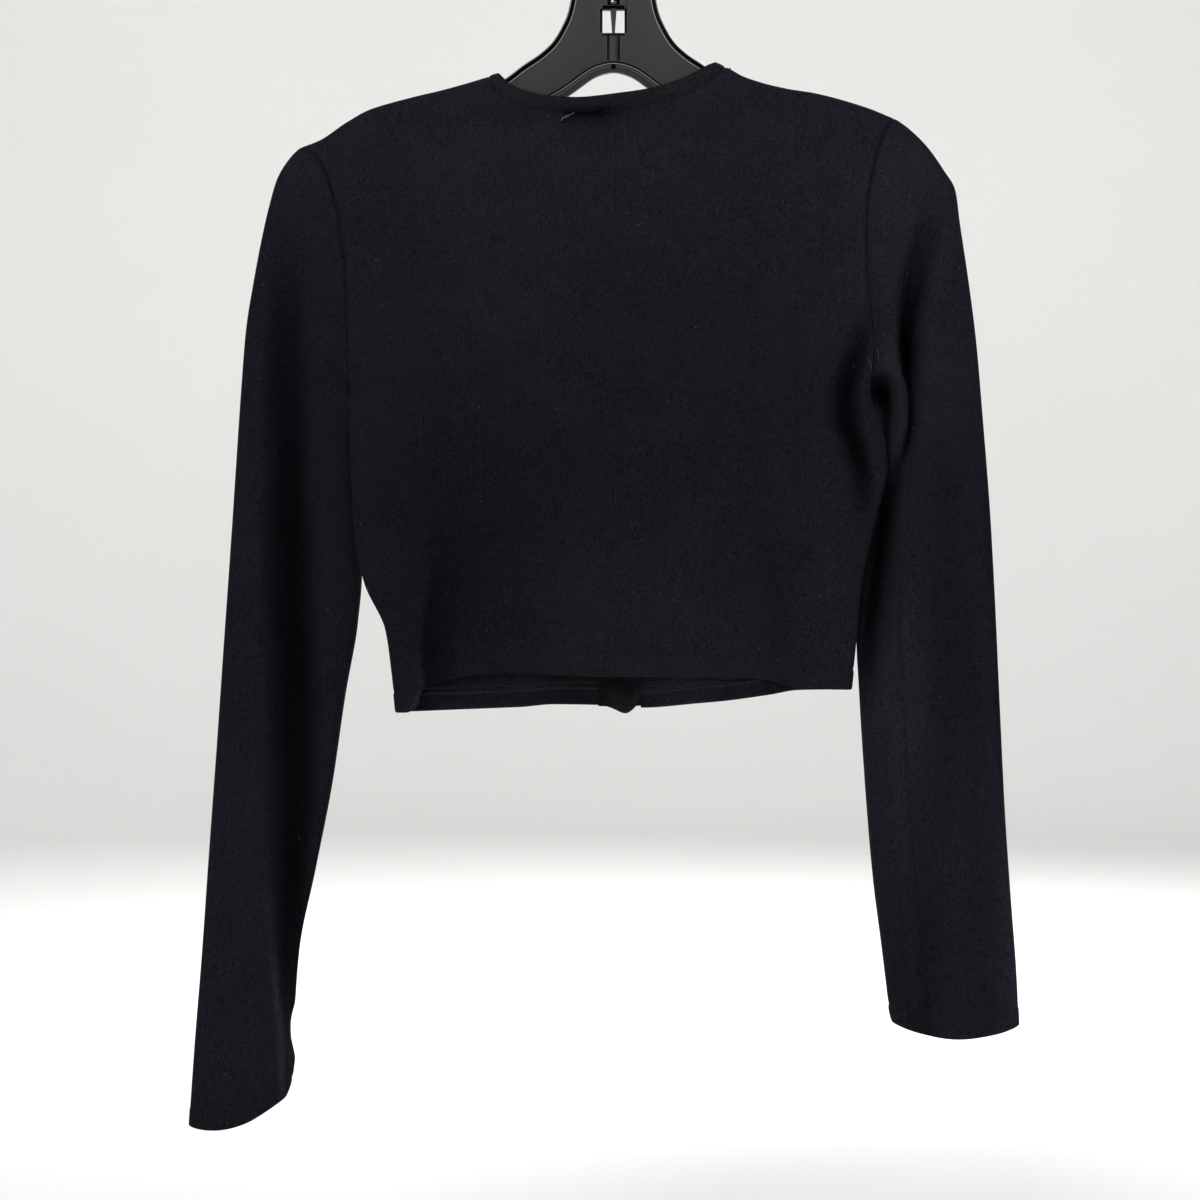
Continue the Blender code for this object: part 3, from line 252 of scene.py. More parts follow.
RIGHT_SLEEVE_FOLDS = [
    # the deep fold from the sleeve's head down behind the armpit
    Crease(5, 2.4, [
        Fold(210, 210, 10, 8, 0), Fold(228, 206, 10, 7, 3.0), Fold(248, 201.5, 10, 6, 7.5),
        Fold(267, 196, 10, 7.5, 9.5), Fold(286, 191, 8.5, 8.8, 12.5), Fold(305, 187.5, 7, 9, 15.0),
        Fold(316, 186.6, 6.0, 9.4, 16.5), Fold(330, 187, 4.6, 8, 16.5),
        Fold(346.6, 189.2, 3.0, 4.6, 13.0), Fold(362.5, 189.5, 2.8, 4.2, 11.0),
        Fold(381, 186, 3.0, 5.0, 7.0), Fold(396, 184, 4, 5, 3.0), Fold(415, 182, 4, 5, 0)
    ]),
    # the underarm's standing fold, left of it
    Crease(2.4, 3, [
        Fold(296, 172, 7, 7, 0), Fold(316, 174, 9, 8, -2.2), Fold(330, 177, 8, 6.5, -3.8),
        Fold(346.6, 183.6, 4, 4, -5.5), Fold(362.5, 183.4, 4, 4, -5.5),
        Fold(381, 179.6, 3.2, 4, -4.4), Fold(396, 177, 3, 3, -1.6), Fold(408, 174, 3, 3, 0)
    ]),
    # the hollow at the armpit, between that fold and the body
    Crease(4, 4, [
        Fold(333, 168, 5, 5, 0), Fold(340.5, 170.5, 7, 7, 10.0), Fold(346.6, 171.5, 8, 7.5, 16.0),
        Fold(354, 174, 7, 5.5, 14.0), Fold(362.5, 174.8, 4.6, 4.4, 11.0),
        Fold(381, 174.6, 3, 2.8, 6.5), Fold(396, 172, 2.4, 2.4, 0)
    ]),
    # behind the body's side
    Crease(3, 2.4, [
        Fold(384, 177, 5, 6, 0), Fold(400, 177.5, 6, 8, 9.0), Fold(413, 175, 6, 8.4, 13.0),
        Fold(445, 170, 6, 8.6, 15.0), Fold(477, 166, 6, 8.2, 14.0), Fold(522, 161, 5, 7.5, 10.0),
        Fold(560, 160, 4, 5, 0)
    ]),
    Crease(2, 2, [
        Fold(370, 214, 9, 12, 0), Fold(415, 214, 10, 13, 3.6), Fold(500, 213, 11, 14, 5.0),
        Fold(580, 213, 11, 13, 4.0), Fold(640, 206, 12, 12, 2.6), Fold(690, 202, 11, 12, 4.4),
        Fold(750, 196, 10, 12, 4.4)
    ]),
    Crease(2, 2, [
        Fold(470, 228, 9, 7, 0), Fold(541, 230, 9, 7, 3.4), Fold(600, 232, 9, 7, 2.4),
        Fold(700, 235, 9, 8, 1.8), Fold(760, 238, 9, 8, 1.6)
    ]),
    Crease(2, 2, [
        Fold(450, 187, 6, 6, 0), Fold(530, 184, 8, 8, -1.4), Fold(620, 182, 8, 8, -1.4),
        Fold(690, 184, 8, 8, 0)
    ]),
    Crease(2, 2, [Fold(240, 226, 5, 6, 0), Fold(300, 221, 6, 7, 0.9), Fold(380, 224, 6, 7, 0)]),
]
LEFT_SLEEVE_FAR_FOLDS = [
    Crease(2, 2, [
        Fold(230, -200, 12, 12, 0), Fold(320, -204, 13, 12, 2.6), Fold(420, -212, 11, 9, 3.0),
        Fold(540, -222, 10, 8, 2.2), Fold(660, -234, 10, 9, 2.0), Fold(780, -242, 9, 9, 1.4)
    ]),
    Crease(2, 2, [Fold(380, -180, 7, 7, 0), Fold(450, -178, 7, 7, 2.0), Fold(530, -184, 7, 7, 0)]),
]
RIGHT_SLEEVE_FAR_FOLDS = [
    Crease(2, 2, [
        Fold(220, 206, 10, 9, 0), Fold(310, 210, 10, 9, 2.6), Fold(420, 212, 11, 11, 3.4),
        Fold(540, 212, 11, 11, 2.4), Fold(660, 218, 11, 11, 1.8), Fold(740, 222, 10, 10, 1.2)
    ]),
    Crease(2, 2, [Fold(430, 184, 7, 8, 0), Fold(490, 182, 7, 8, 1.6), Fold(560, 184, 7, 8, 0)]),
]
# How deep a fold is where its painted shade is full, and how high a ridge is where its painted highlight is
# full
DEEP_FOLD, RIDGE_HIGHLIGHT = 14.0, 4.0

Ring = namedtuple("Ring", "outer outer_drop inner inner_drop inner_set deep square")
LEFT_SLEEVE = [
    Ring(-198.4, 188.6, -169.0, 344.7, 0.0, 14.5, 0.62),
    Ring(-204.8, 195.0, -168.0, 347.6, 2.0, 14.5, 0.62),
    Ring(-213.3, 208.4, -165.4, 351.2, 4.5, 14.5, 0.62),
    Ring(-218.8, 226.9, -163.6, 358.0, 7.0, 14.5, 0.62),
    Ring(-223.3, 246.6, -162.8, 369.0, 9.0, 14.5, 0.65),
    Ring(-229.0, 276.5, -162.4, 388.0, 10.5, 14.5, 0.7),
    Ring(-233.5, 305.2, -162.6, 407.1, 11.0, 14.5, 0.7),
    Ring(-236.6, 343.4, -163.4, 432.6, 11.0, 14.0, 0.7),
    Ring(-239.2, 381.6, -160.8, 459.4, 11.0, 13.5, 0.7),
    Ring(-243.0, 439.0, -163.5, 493.1, 10.0, 13.5, 0.7),
    Ring(-247.5, 502.7, -171.0, 537.7, 7.0, 13.0, 0.7),
    Ring(-251.9, 566.4, -179.3, 595.0, 5.0, 13.0, 0.7),
    Ring(-257.0, 636.5, -189.5, 647.9, 3.0, 12.5, 0.7),
    Ring(-261.5, 700.1, -200.0, 700.1, 3.0, 12.0, 0.7),
    Ring(-266.6, 763.9, -204.5, 758.8, 3.0, 11.5, 0.7),
    Ring(-269.8, 811.0, -209.3, 794.0, 3.0, 11.5, 0.7),
]
RIGHT_SLEEVE = [
    Ring(178.0, 170.2, 166.4, 337.7, 0.0, 14.5, 0.62),
    Ring(187.6, 177.2, 165.4, 339.8, 2.0, 14.5, 0.62),
    Ring(199.1, 188.6, 163.4, 343.4, 4.5, 14.5, 0.62),
    Ring(209.9, 203.9, 163.2, 350.0, 7.0, 14.5, 0.62),
    Ring(216.9, 216.0, 164.4, 359.4, 9.0, 14.5, 0.62),
    Ring(220.1, 238.3, 167.0, 373.4, 10.5, 14.5, 0.65),
    Ring(224.5, 267.0, 167.4, 388.0, 11.5, 14.5, 0.7),
    Ring(230.3, 311.6, 167.8, 407.1, 11.5, 14.0, 0.7),
    Ring(234.7, 362.5, 163.4, 431.3, 11.0, 14.0, 0.7),
    Ring(239.2, 419.9, 158.3, 461.3, 10.0, 13.5, 0.7),
    Ring(242.4, 477.2, 155.2, 497.6, 9.5, 13.0, 0.7),
    Ring(245.6, 547.3, 156.8, 540.9, 5.0, 13.0, 0.7),
    Ring(248.7, 611.0, 160.2, 598.2, 2.0, 13.0, 0.7),
    Ring(252.6, 668.3, 164.7, 652.4, 1.0, 12.5, 0.7),
    Ring(255.8, 709.7, 170.4, 698.9, 0.0, 12.0, 0.7),
    Ring(257.7, 747.3, 176.1, 746.0, 0.0, 12.0, 0.7),
]
# How far the cuffs' inner edges stand out from a straight line
LEFT_CUFF_EDGE = [Along(733, 0), Along(746, -2.0), Along(755, -1.2), Along(762, 0.9), Along(770, 3.1),
                  Along(778, 3.2), Along(787, 2.3), Along(794, 0.4), Along(800, -2.4)]
RIGHT_CUFF_EDGE = [Along(700, 0), Along(738, 0), Along(745, 1.0), Along(750, 3.6)]
ARMHOLE_BLEND = 0.22
CUFF_BOW, CUFF_BOW_RUN = 8.5, 0.12

# Hanger: half of its outline, from the top of the neck to the arm's tip
Station = namedtuple("Station", "top top_drop low low_drop")
HANGER_HALF = [
    Station(9.0, 73.0, 2.2, 141.3), Station(18.0, 74.5, 4.4, 141.7),
    Station(24.2, 80.5, 6.8, 142.3), Station(26.2, 88.0, 9.0, 143.1),
    Station(27.3, 96.0, 11.2, 144.0), Station(29.3, 104.5, 13.6, 145.3),
    Station(33.0, 113.0, 16.4, 147.2), Station(38.8, 122.4, 19.8, 149.7),
    Station(46.6, 129.8, 25.4, 153.8), Station(57.5, 137.2, 36.0, 160.4),
    Station(71.3, 147.2, 54.0, 168.0), Station(84.0, 152.2, 73.0, 171.4),
    Station(104.0, 156.0, 97.5, 172.8), Station(127.4, 162.0, 124.0, 176.0),
    Station(147.0, 167.6, 144.0, 181.0), Station(163.0, 175.2, 158.0, 188.2),
    Station(178.0, 185.6, 172.0, 198.0), Station(192.0, 197.6, 186.0, 209.6),
    Station(203.5, 208.2, 197.6, 219.2), Station(208.8, 215.6, 204.2, 223.4),
]
# The section of the moulding, from its upper edge and from its lower edge inwards
Step = namedtuple("Step", "inwards half_depth")
UPPER_STEPS = [Step(0.0, 3.2), Step(0.3, 3.8), Step(0.7, 3.75), Step(0.9, 2.8), Step(1.1, 0.6),
               Step(2.7, 0.6), Step(2.9, 1.8), Step(3.1, 2.5), Step(3.6, 2.45), Step(3.8, 1.95),
               Step(4.8, 1.9)]
LOWER_STEPS = [Step(0.0, 2.4), Step(0.5, 3.1), Step(1.9, 3.3), Step(2.2, 2.9), Step(2.6, 3.2),
               Step(4.5, 3.2), Step(4.8, 3.8), Step(5.2, 3.95), Step(5.5, 3.5), Step(5.7, 0.8),
               Step(6.4, 0.8), Step(6.7, 1.8), Step(7.3, 1.9)]
# Faces of that section, counted from the upper edge: with a painted highlight, and deep in a groove with
# painted shade
HIGHLIGHT_FACES, GROOVE_FACES = (1, 7, 16), (3, 4, 5, 12, 13, 14)
WINDOW_HALF, WINDOW_TOP, WINDOW_LOW = 7.0, 101.2, 116.1
SILL_TOP, SILL_LOW, SEAT_BACK = 99.2, 118.2, 2.3
BOSS_HALF, BOSS_TOP = 8.0, 76.0
RIVET_HALF, RIVET_TOP, BORE_RADIUS = 3.9, 94.4, 2.2
RIB_HALF, RIB_DEEP, RIB_LOW = 3.2, 2.8, 134.6
PIN_DROP, PIN_RADIUS, GROOVE = 138.1, 1.6, 0.9

WIRE_RADIUS, HOOK_RADIUS = 1.8, 22.0
Wire = namedtuple("Wire", "across drop radius")
HOOK_STEM = [Wire(0, 98.6, 1.4), Wire(0, 98.4, 2.6), Wire(0, 97.9, 3.3), Wire(0, 97.2, 3.65),
             Wire(0, 95.9, 3.65), Wire(0, 95.3, 3.2), Wire(0, 95.0, WIRE_RADIUS), Wire(0, 86, WIRE_RADIUS),
             Wire(0, 74, WIRE_RADIUS), Wire(0, 66, WIRE_RADIUS), Wire(0, 60, WIRE_RADIUS),
             Wire(0.8, 53, WIRE_RADIUS), Wire(3.6, 46.5, WIRE_RADIUS), Wire(9.2, 39.8, WIRE_RADIUS)]


# Reading tables and making curves

def columns(table):
    """Each named column of a table, as an array."""
    return [np.array(column, float) for column in zip(*table)]


def smooth_read(at, knots, values):
    """Cubic Hermite curve through the knots; a slope is the harmonic mean of its two
    chords, and zero where they turn, so the curve never overshoots its rows."""
    at = np.asarray(at, float)
    steps = np.diff(knots)
    chords = np.diff(values) / steps
    before, after = chords[:-1], chords[1:]
    total = np.where(before + after == 0, 1.0, before + after)
    inner = np.where(before * after > 0, 2 * before * after / total, 0.0)
    slopes = np.concatenate([chords[:1], inner, chords[-1:]])
    piece = np.clip(np.searchsorted(knots, at, side="right") - 1, 0, len(steps) - 1)
    s = np.clip((at - knots[piece]) / steps[piece], 0, 1)
    a, b = values[piece], values[piece + 1]
    rise_a, rise_b = slopes[piece] * steps[piece], slopes[piece + 1] * steps[piece]
    return (a * (1 + 2 * s) * (1 - s) ** 2 + b * s ** 2 * (3 - 2 * s)
            + rise_a * s * (1 - s) ** 2 - rise_b * s ** 2 * (1 - s))


def table_read(at, table, given, wanted):
    """One column of a table, read smoothly at values of another."""
    knots = np.array([getattr(row, given) for row in table], float)
    values = np.array([getattr(row, wanted) for row in table], float)
    return smooth_read(at, knots, values)


def path_through(table, count):
    """Points evenly spaced by chord length along a smooth path through a table."""
    across, drop = columns(table)
    reach = np.concatenate([[0], np.cumsum(np.hypot(np.diff(across), np.diff(drop)))])
    at = np.linspace(0, reach[-1], count)
    return smooth_read(at, reach, across), smooth_read(at, reach, drop)


def ease(value):
    """0 below 0, 1 above 1, and a smooth step between."""
    value = np.clip(value, 0, 1)
    return value * value * (3 - 2 * value)


def bell(distance, reach):
    """1 in the middle, falling off as a Gaussian of that reach."""
    return np.exp(-(distance / reach) ** 2)


def unit(vectors):
    """Vectors of length 1."""
    return vectors / np.maximum(np.linalg.norm(vectors, axis=-1, keepdims=True), 1e-9)


def place(across, y, drop):
    """Points from the tables' millimetres, still in millimetres, with Z up."""
    return np.stack(np.broadcast_arrays(across, y, -np.asarray(drop)), axis=-1)


# The form's surface

def fold_offset(across, drop, folds):
    """Sum of the folds. Across each one runs exp(-|distance / reach| ** power), with its own
    reach and power on each side; the middle, reaches and depth are read smoothly down its rows."""
    total = np.zeros(np.broadcast(across, drop).shape)
    for fold in folds:
        drops, middles, lefts, rights, depths = columns(fold.rows)
        away = across - smooth_read(drop, drops, middles)
        reach = np.where(away < 0, smooth_read(drop, drops, lefts), smooth_read(drop, drops, rights))
        power = np.where(away < 0, fold.left_power, fold.right_power)
        total = total + smooth_read(drop, drops, depths) * np.exp(-np.abs(away / reach) ** power)
    return total


def in_fold(offset):
    """How much painted shade a point gets: 1 at the bottom of a deep fold, 0 on the open cloth,
    and a little below 0 on a ridge, which gets a painted highlight."""
    return np.clip(offset / DEEP_FOLD, 0, 1.1) ** 1.3 - 0.3 * np.clip(-offset / RIDGE_HIGHLIGHT, 0, 1)


def ripples(across, drop, seed):
    """Sum of long, low sine waves that run mostly down the cloth, each with its own
    direction, length, height and start, so that no stretch of it is quite flat."""
    draw = np.random.default_rng(seed)
    total = np.zeros(np.broadcast(across, drop).shape)
    for length in np.geomspace(150, 22, 11):
        lean = draw.normal(0, 0.45)
        along = across * np.cos(lean) + drop * np.sin(lean) * 0.8
        height = 0.0034 * length * draw.uniform(0.5, 1.2)
        total = total + height * np.sin(2 * np.pi * (along / length + draw.uniform()))
    return total


def left_edge(drop):
    return table_read(drop, LEFT_EDGE, "drop", "across")


def right_edge(drop):
    return table_read(drop, RIGHT_EDGE, "drop", "across")


def armhole_depth(drop, shoulder, armpit):
    """Half width of the armhole: growing from the shoulder, closing as an ellipse."""
    s = (drop - shoulder) / (armpit - shoulder)
    grown = ARMHOLE_TOP + (ARMHOLE_DEEP - ARMHOLE_TOP) * np.clip(s / ARMHOLE_TURN, 0, 1)
    closing = np.clip((s - ARMHOLE_TURN) / (1 - ARMHOLE_TURN), 0, 1)
    return grown * np.sqrt(1 - closing ** 2)


def body_depth(across, drop, side):
    """Y of the body's outer face: a flattened ring at each height, rounded over the
    shoulders and open at the armholes. side is -1 for the back and 1 for the front."""
    left, right = left_edge(drop), right_edge(drop)
    share = np.clip(np.abs((2 * across - left - right) / (right - left)), 0, 1)
    full = (1 - share ** SIDE_POWER) ** (1 / SIDE_POWER)
    left_hole = armhole_depth(drop, LEFT_SHOULDER_DROP, LEFT_ARMPIT_DROP)
    right_hole = armhole_depth(drop, RIGHT_SHOULDER_DROP, RIGHT_ARMPIT_DROP)
    hole = np.where(across < 0, left_hole, right_hole)
    armpit = np.where(across < 0, LEFT_ARMPIT_DROP, RIGHT_ARMPIT_DROP)
    shoulder = np.where(across < 0, LEFT_SHOULDER_DROP, RIGHT_SHOULDER_DROP)
    soft = ARMHOLE_TOP + (ARMHOLE_DEEP - ARMHOLE_TOP) * ease((drop - shoulder) / 90)
    soft = soft * (1 - ease((drop - armpit + UNDERARM_ABOVE) / UNDERARM_RUN))
    from_edge = np.minimum(across - left, right - across)
    hole = hole + (soft - hole) * ease(from_edge / UNDERARM_WIDE)
    middle = table_read(drop, DEPTH, "drop", "back" if side < 0 else "front")
    below = (drop - armpit) / SIDE_BACK_RUN
    seam = -SIDE_BACK * ease(below) * (1 - full)
    under_ridge = np.clip((drop - table_read(across, RIDGE, "across", "drop")) / RIDGE_ROUND, 0, 1)
    over = np.sqrt(1 - (1 - under_ridge) ** 2)
    folds = fold_offset(across, drop, BACK_FOLDS if side < 0 else FRONT_FOLDS)
    uneven = ripples(across, drop, 3 if side < 0 else 8) * np.clip(full * 1.4 - 0.2, 0, 1)
    depth = over * (hole * (1 - full) + middle * full + uneven) - full * folds
    return seam + side * (SEAM_GAP / 2 + depth)


def body_normals(across, drop, side):
    """Outward unit normals of the body's form, from its slopes across and down."""
    step = 0.4
    slope_across = (body_depth(across + step, drop, side)
                    - body_depth(across - step, drop, side)) / (2 * step)
    slope_down = (body_depth(across, drop + step, side)
                  - body_depth(across, drop - step, side)) / (2 * step)
    normals = np.stack([slope_across, -np.ones_like(slope_across), -slope_down], axis=-1)
    return unit(-side * normals)


def armhole_normals(drop, side, edge):
    """Unit normals of the armhole's loop within a plane of constant X."""
    step = 0.4
    slope = (body_depth(edge(drop + step), drop + step, side)
             - body_depth(edge(drop - step), drop - step, side)) / (2 * step)
    normals = np.stack([0 * slope, -np.ones_like(slope), -slope], axis=-1)
    return unit(-side * normals)


def tube_normals(points):
    """Outward unit normals of a tube's grid of rings, from its own differences."""
    down = np.gradient(points, axis=0)
    around = (np.roll(points, -1, axis=1) - np.roll(points, 1, axis=1)) / 2
    normals = unit(np.cross(unit(down), unit(around)))
    outward = np.sum(normals * (points - points.mean(axis=1, keepdims=True))) > 0
    return normals if outward else -normals


# Meshes

def quads(ids):
    """Corners of the faces between neighbouring rows and columns of a grid of numbers."""
    return np.stack([ids[:-1, :-1], ids[1:, :-1], ids[1:, 1:], ids[:-1, 1:]], axis=-1).reshape(-1, 4)


def add_piece(name, points, faces, material, stands_for=(), cloth=None, cloth_faces=None,
              tucked=None):
    """One piece from points in millimetres and four-cornered faces, all turned over if the
    volume that they close would be negative. `cloth` is its UV map, in metres, and `tucked`
    says for each point how far inside a fold it lies, which the knit turns into painted shade and, below 0,
    a painted highlight."""
    points = np.asarray(points, float).reshape(-1, 3)
    a, b, c, d = (points[faces[:, corner]] for corner in range(4))
    if np.sum(a * np.cross(b, c)) + np.sum(a * np.cross(c, d)) < 0:
        faces = faces[:, ::-1]
        cloth_faces = None if cloth_faces is None else cloth_faces[:, ::-1]
    mesh = bpy.data.meshes.new(name)
    mesh.from_pydata((points * MM).tolist(), [], faces.tolist())
    if cloth is not None:
        layer = mesh.uv_layers.new(name="cloth")
        layer.data.foreach_set("uv", (cloth.reshape(-1, 2) * MM)[cloth_faces.ravel()].ravel())
    if tucked is not None:
        mesh.attributes.new("tucked", "FLOAT", "POINT").data.foreach_set("value", tucked.ravel())
    mesh.materials.append(material)
    mesh.shade_smooth()
    piece = bpy.data.objects.new(name, mesh)
    bpy.context.scene.collection.objects.link(piece)
    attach(piece, BODY)
    if stands_for:
        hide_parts(*stands_for)
    return piece


def add_wall(name, outer, inner, cloth, material, stands_for, wraps=False, tucked=None,
             inside=None):
    """A closed wall between an outer and an inner grid of points. A grid that wraps is a
    tube, and its UV grid then has one more column than its points. `tucked` and `inside` say
    how far in a fold the outer and the inner points lie, for the knit's painted shade; below 0
    they make the knit lighter."""
    rows, cols = outer.shape[:2]
    tucked = np.zeros((rows, cols)) if tucked is None else tucked
    lying = np.concatenate([tucked, tucked if inside is None else inside])
    outside = np.arange(rows * cols).reshape(rows, cols)
    inside = outside + rows * cols
    flat = np.arange(cloth.shape[0] * cloth.shape[1]).reshape(cloth.shape[:2])
    if wraps:
        outside = np.hstack([outside, outside[:, :1]])
        inside = np.hstack([inside, inside[:, :1]])
    pairs = [(outside, flat), (inside[:, ::-1], flat[:, ::-1]),
             (np.stack([inside[0], outside[0]]), np.stack([flat[0], flat[0]])),
             (np.stack([outside[-1], inside[-1]]), np.stack([flat[-1], flat[-1]]))]
    if not wraps:
        pairs += [(np.stack([inside[:, 0], outside[:, 0]], axis=1),
                   np.stack([flat[:, 0], flat[:, 0]], axis=1)),
                  (np.stack([outside[:, -1], inside[:, -1]], axis=1),
                   np.stack([flat[:, -1], flat[:, -1]], axis=1))]
    faces = np.concatenate([quads(ids) for ids, _ in pairs])
    cloth_faces = np.concatenate([quads(ids) for _, ids in pairs])
    points = np.concatenate([outer.reshape(-1, 3), inner.reshape(-1, 3)])
    return add_piece(name, points, faces, material, stands_for, cloth, cloth_faces, lying)


def tube_faces(rows, around):
    """Faces of rings joined one to the next, with each end closed on its own ring's points."""
    ids = np.arange(rows * around).reshape(rows, around)
    side = quads(np.hstack([ids, ids[:, :1]]))
    half = around // 2

    def cap(ring):
        return quads(np.stack([ring[:half], ring[:half - 1:-1]]))

    return np.concatenate([side, cap(ids[0]), cap(ids[-1])[:, ::-1]])


def carried(path, radius, around, squash=1.0, turn=0.0):
    """Rings of a round section carried along a path: at each point two directions square
    to the path, times the cosine and the sine of the turn, times the radius there."""
    along = unit(np.gradient(path, axis=0))
    guide = np.where(np.abs(along[:, 1:2]) > 0.9, [[1.0, 0, 0]], [[0, 1.0, 0]])
    side = unit(np.cross(along, guide))
    up = np.cross(side, along)
    angle = np.linspace(0, 2 * np.pi, around, endpoint=False) + turn
    radius = np.broadcast_to(radius, len(path))[:, None, None]
    return (path[:, None] + radius * (side[:, None] * np.cos(angle)[:, None]
                                      + np.reshape(squash, (-1, 1, 1)) * up[:, None]
                                      * np.sin(angle)[:, None]))


def add_stitches(name, path, normals, material, slot, length=2.1, gap=0.7, wide=0.32, high=0.28,
                 lean=0.0):
    """Stitches along a path on the cloth. Each is a small spindle of 5 rings of 6 points,
    laid along the path, with its middle at the cloth's face and turned by `lean` degrees."""
    reach = np.concatenate([[0], np.cumsum(np.linalg.norm(np.diff(path, axis=0), axis=1))])
    at = np.arange(length, reach[-1] - length, length + gap)
    middle = np.stack([np.interp(at, reach, path[:, axis]) for axis in range(3)], axis=-1)
    up = unit(np.stack([np.interp(at, reach, normals[:, axis]) for axis in range(3)], axis=-1))
    along = unit(np.stack([np.interp(at, reach, np.gradient(path[:, axis], reach))
                           for axis in range(3)], axis=-1))
    side = unit(np.cross(up, along))
    swing = np.radians(lean) * np.where(np.arange(len(at)) % 2, 1, -1)[:, None]
    along, side = along * np.cos(swing) + side * np.sin(swing), side * np.cos(swing) - along * np.sin(swing)
    run = np.linspace(-1, 1, 5)
    thick = np.array([0.35, 0.85, 1.0, 0.85, 0.35])
    angle = np.linspace(0, 2 * np.pi, 6, endpoint=False)
    points = (middle[:, None, None] + along[:, None, None] * (run * length / 2)[None, :, None, None]
              + side[:, None, None] * (thick[:, None] * np.cos(angle) * wide)[None, :, :, None]
              + up[:, None, None] * (thick[:, None] * np.sin(angle) * high
                                     - 0.25 * run[:, None] ** 2)[None, :, :, None])
    one = tube_faces(5, 6)
    faces = (one[None] + 30 * np.arange(len(at))[:, None, None]).reshape(-1, 4)
    return add_piece(name, points, faces, material)


def merged(name, parts, material, stands_for=()):
    """One piece from several sets of points and faces."""
    start, points, faces = 0, [], []
    for part_points, part_faces in parts:
        part_points = np.asarray(part_points, float).reshape(-1, 3)
        points.append(part_points)
        faces.append(part_faces + start)
        start += len(part_points)
    return add_piece(name, np.concatenate(points), np.concatenate(faces), material, stands_for)


# Shaders

class Socket:
    """A value in a shader. Sums and products of values add Math nodes."""

    def __init__(self, shader, socket):
        self.shader, self.socket = shader, socket

    def math(self, operation, *others):
        return self.shader.math(operation, self, *others)

    def __add__(self, other):
        return self.math("ADD", other)

    def __sub__(self, other):
        return self.math("SUBTRACT", other)

    def __rsub__(self, other):
        return self.shader.math("SUBTRACT", other, self)

    def __mul__(self, other):
        return self.math("MULTIPLY", other)

    def __truediv__(self, other):
        return self.math("DIVIDE", other)

    def __pow__(self, other):
        return self.math("POWER", other)

    def __rtruediv__(self, other):
        return self.shader.math("DIVIDE", other, self)

    __radd__, __rmul__ = __add__, __mul__


class Shader:
    """One material's nodes, with a Principled shader at the end."""

    def __init__(self, name):
        self.material = bpy.data.materials.new(name)
        self.material.use_nodes = True
        self.tree = self.material.node_tree
        self.surface = self.tree.nodes["Principled BSDF"]

    def put(self, socket, value):
        if isinstance(value, Socket):
            self.tree.links.new(value.socket, socket)
        else:
            socket.default_value = value

    def add(self, kind, settings=(), inputs=(), output=0):
        """A node of that type: its settings first, then its sockets, then one output."""
        node = self.tree.nodes.new(kind)
        for setting, value in dict(settings).items():
            setattr(node, setting, value)
        for socket, value in dict(inputs).items():
            self.put(node.inputs[socket], value)
        return Socket(self, node.outputs[output])

    def math(self, operation, *values):
        return self.add("ShaderNodeMath", {"operation": operation}, dict(enumerate(values)))

    def mix(self, share, first, second):
        """From the first colour to the second."""
        return self.add("ShaderNodeMix", {"data_type": "RGBA"},
                        {0: share, 6: (*first, 1) if isinstance(first, tuple) else first,
                         7: (*second, 1) if isinstance(second, tuple) else second}, 2)

    def scaled(self, colour, amount):
        """A colour times a number."""
        return self.add("ShaderNodeVectorMath", {"operation": "SCALE"}, {"Vector": colour, "Scale": amount})

    def noise(self, scale, detail=2.0, roughness=0.5, vector=None):
        inputs = {"Scale": scale, "Detail": detail, "Roughness": roughness}
        inputs["Vector"] = self.here() if vector is None else vector
        return self.add("ShaderNodeTexNoise", {}, inputs, "Fac")

    def here(self):
        return self.add("ShaderNodeTexCoord", {}, {}, "Object")

    def split(self, vector):
        node = self.tree.nodes.new("ShaderNodeSeparateXYZ")
        self.put(node.inputs[0], vector)
        return [Socket(self, output) for output in node.outputs]

    def between(self, value, low, high):
        """0 at low, 1 at high, smooth between."""
        return self.add("ShaderNodeMapRange", {"interpolation_type": "SMOOTHSTEP"},
                        {"Value": value, "From Min": low, "From Max": high})

    def bump(self, height, distance, strength=1.0, normal=None):
        inputs = {"Height": height, "Distance": distance, "Strength": strength}
        if normal is not None:
            inputs["Normal"] = normal
        return self.add("ShaderNodeBump", {}, inputs)

    def finish(self, **sockets):
        """Sets the Principled shader's sockets, with _ for a space, and gives the material."""
        for name, value in sockets.items():
            socket = self.surface.inputs[name.replace("_", " ")]
            self.put(socket, (*value, 1) if isinstance(value, tuple) and len(value) == 3 else value)
        return self.material


WALE, COURSE = 2.0 * MM, 1.5 * MM      # the knit's columns and rows of stitches

# Patches where the knit's colour is painted lighter (above 0) or darker (below 0): painted light and shade
# where the light falls more or less on the cloth
Patch = namedtuple("Patch", "across drop wide tall change")
PAINTED_LIGHT_PATCHES = [Patch(0, 150, 260, 95, 0.30), Patch(30, 520, 85, 90, 0.22), Patch(-100, 440, 60, 90, -0.18),
          Patch(-60, 400, 110, 90, -0.12), Patch(86, 490, 34, 90, -0.15), Patch(138, 500, 26, 80, 0.18),
          Patch(-65, 512, 34, 22, -0.12), Patch(-250, 760, 50, 160, 0.14), Patch(215, 700, 70, 220, 0.30),
          Patch(213, 275, 60, 80, 0.50), Patch(-30, 167, 60, 11, -0.26), Patch(184, 712, 20, 70, -0.22),
          Patch(251, 690, 8, 130, 0.35), Patch(237, 300, 7, 60, 0.16), Patch(182, 545, 20, 60, 0.24),
          Patch(186, 210, 30, 26, 0.16)]
OLIVE = Patch(-14, 455, 56, 100, 0.6)       # where the dye has faded towards olive


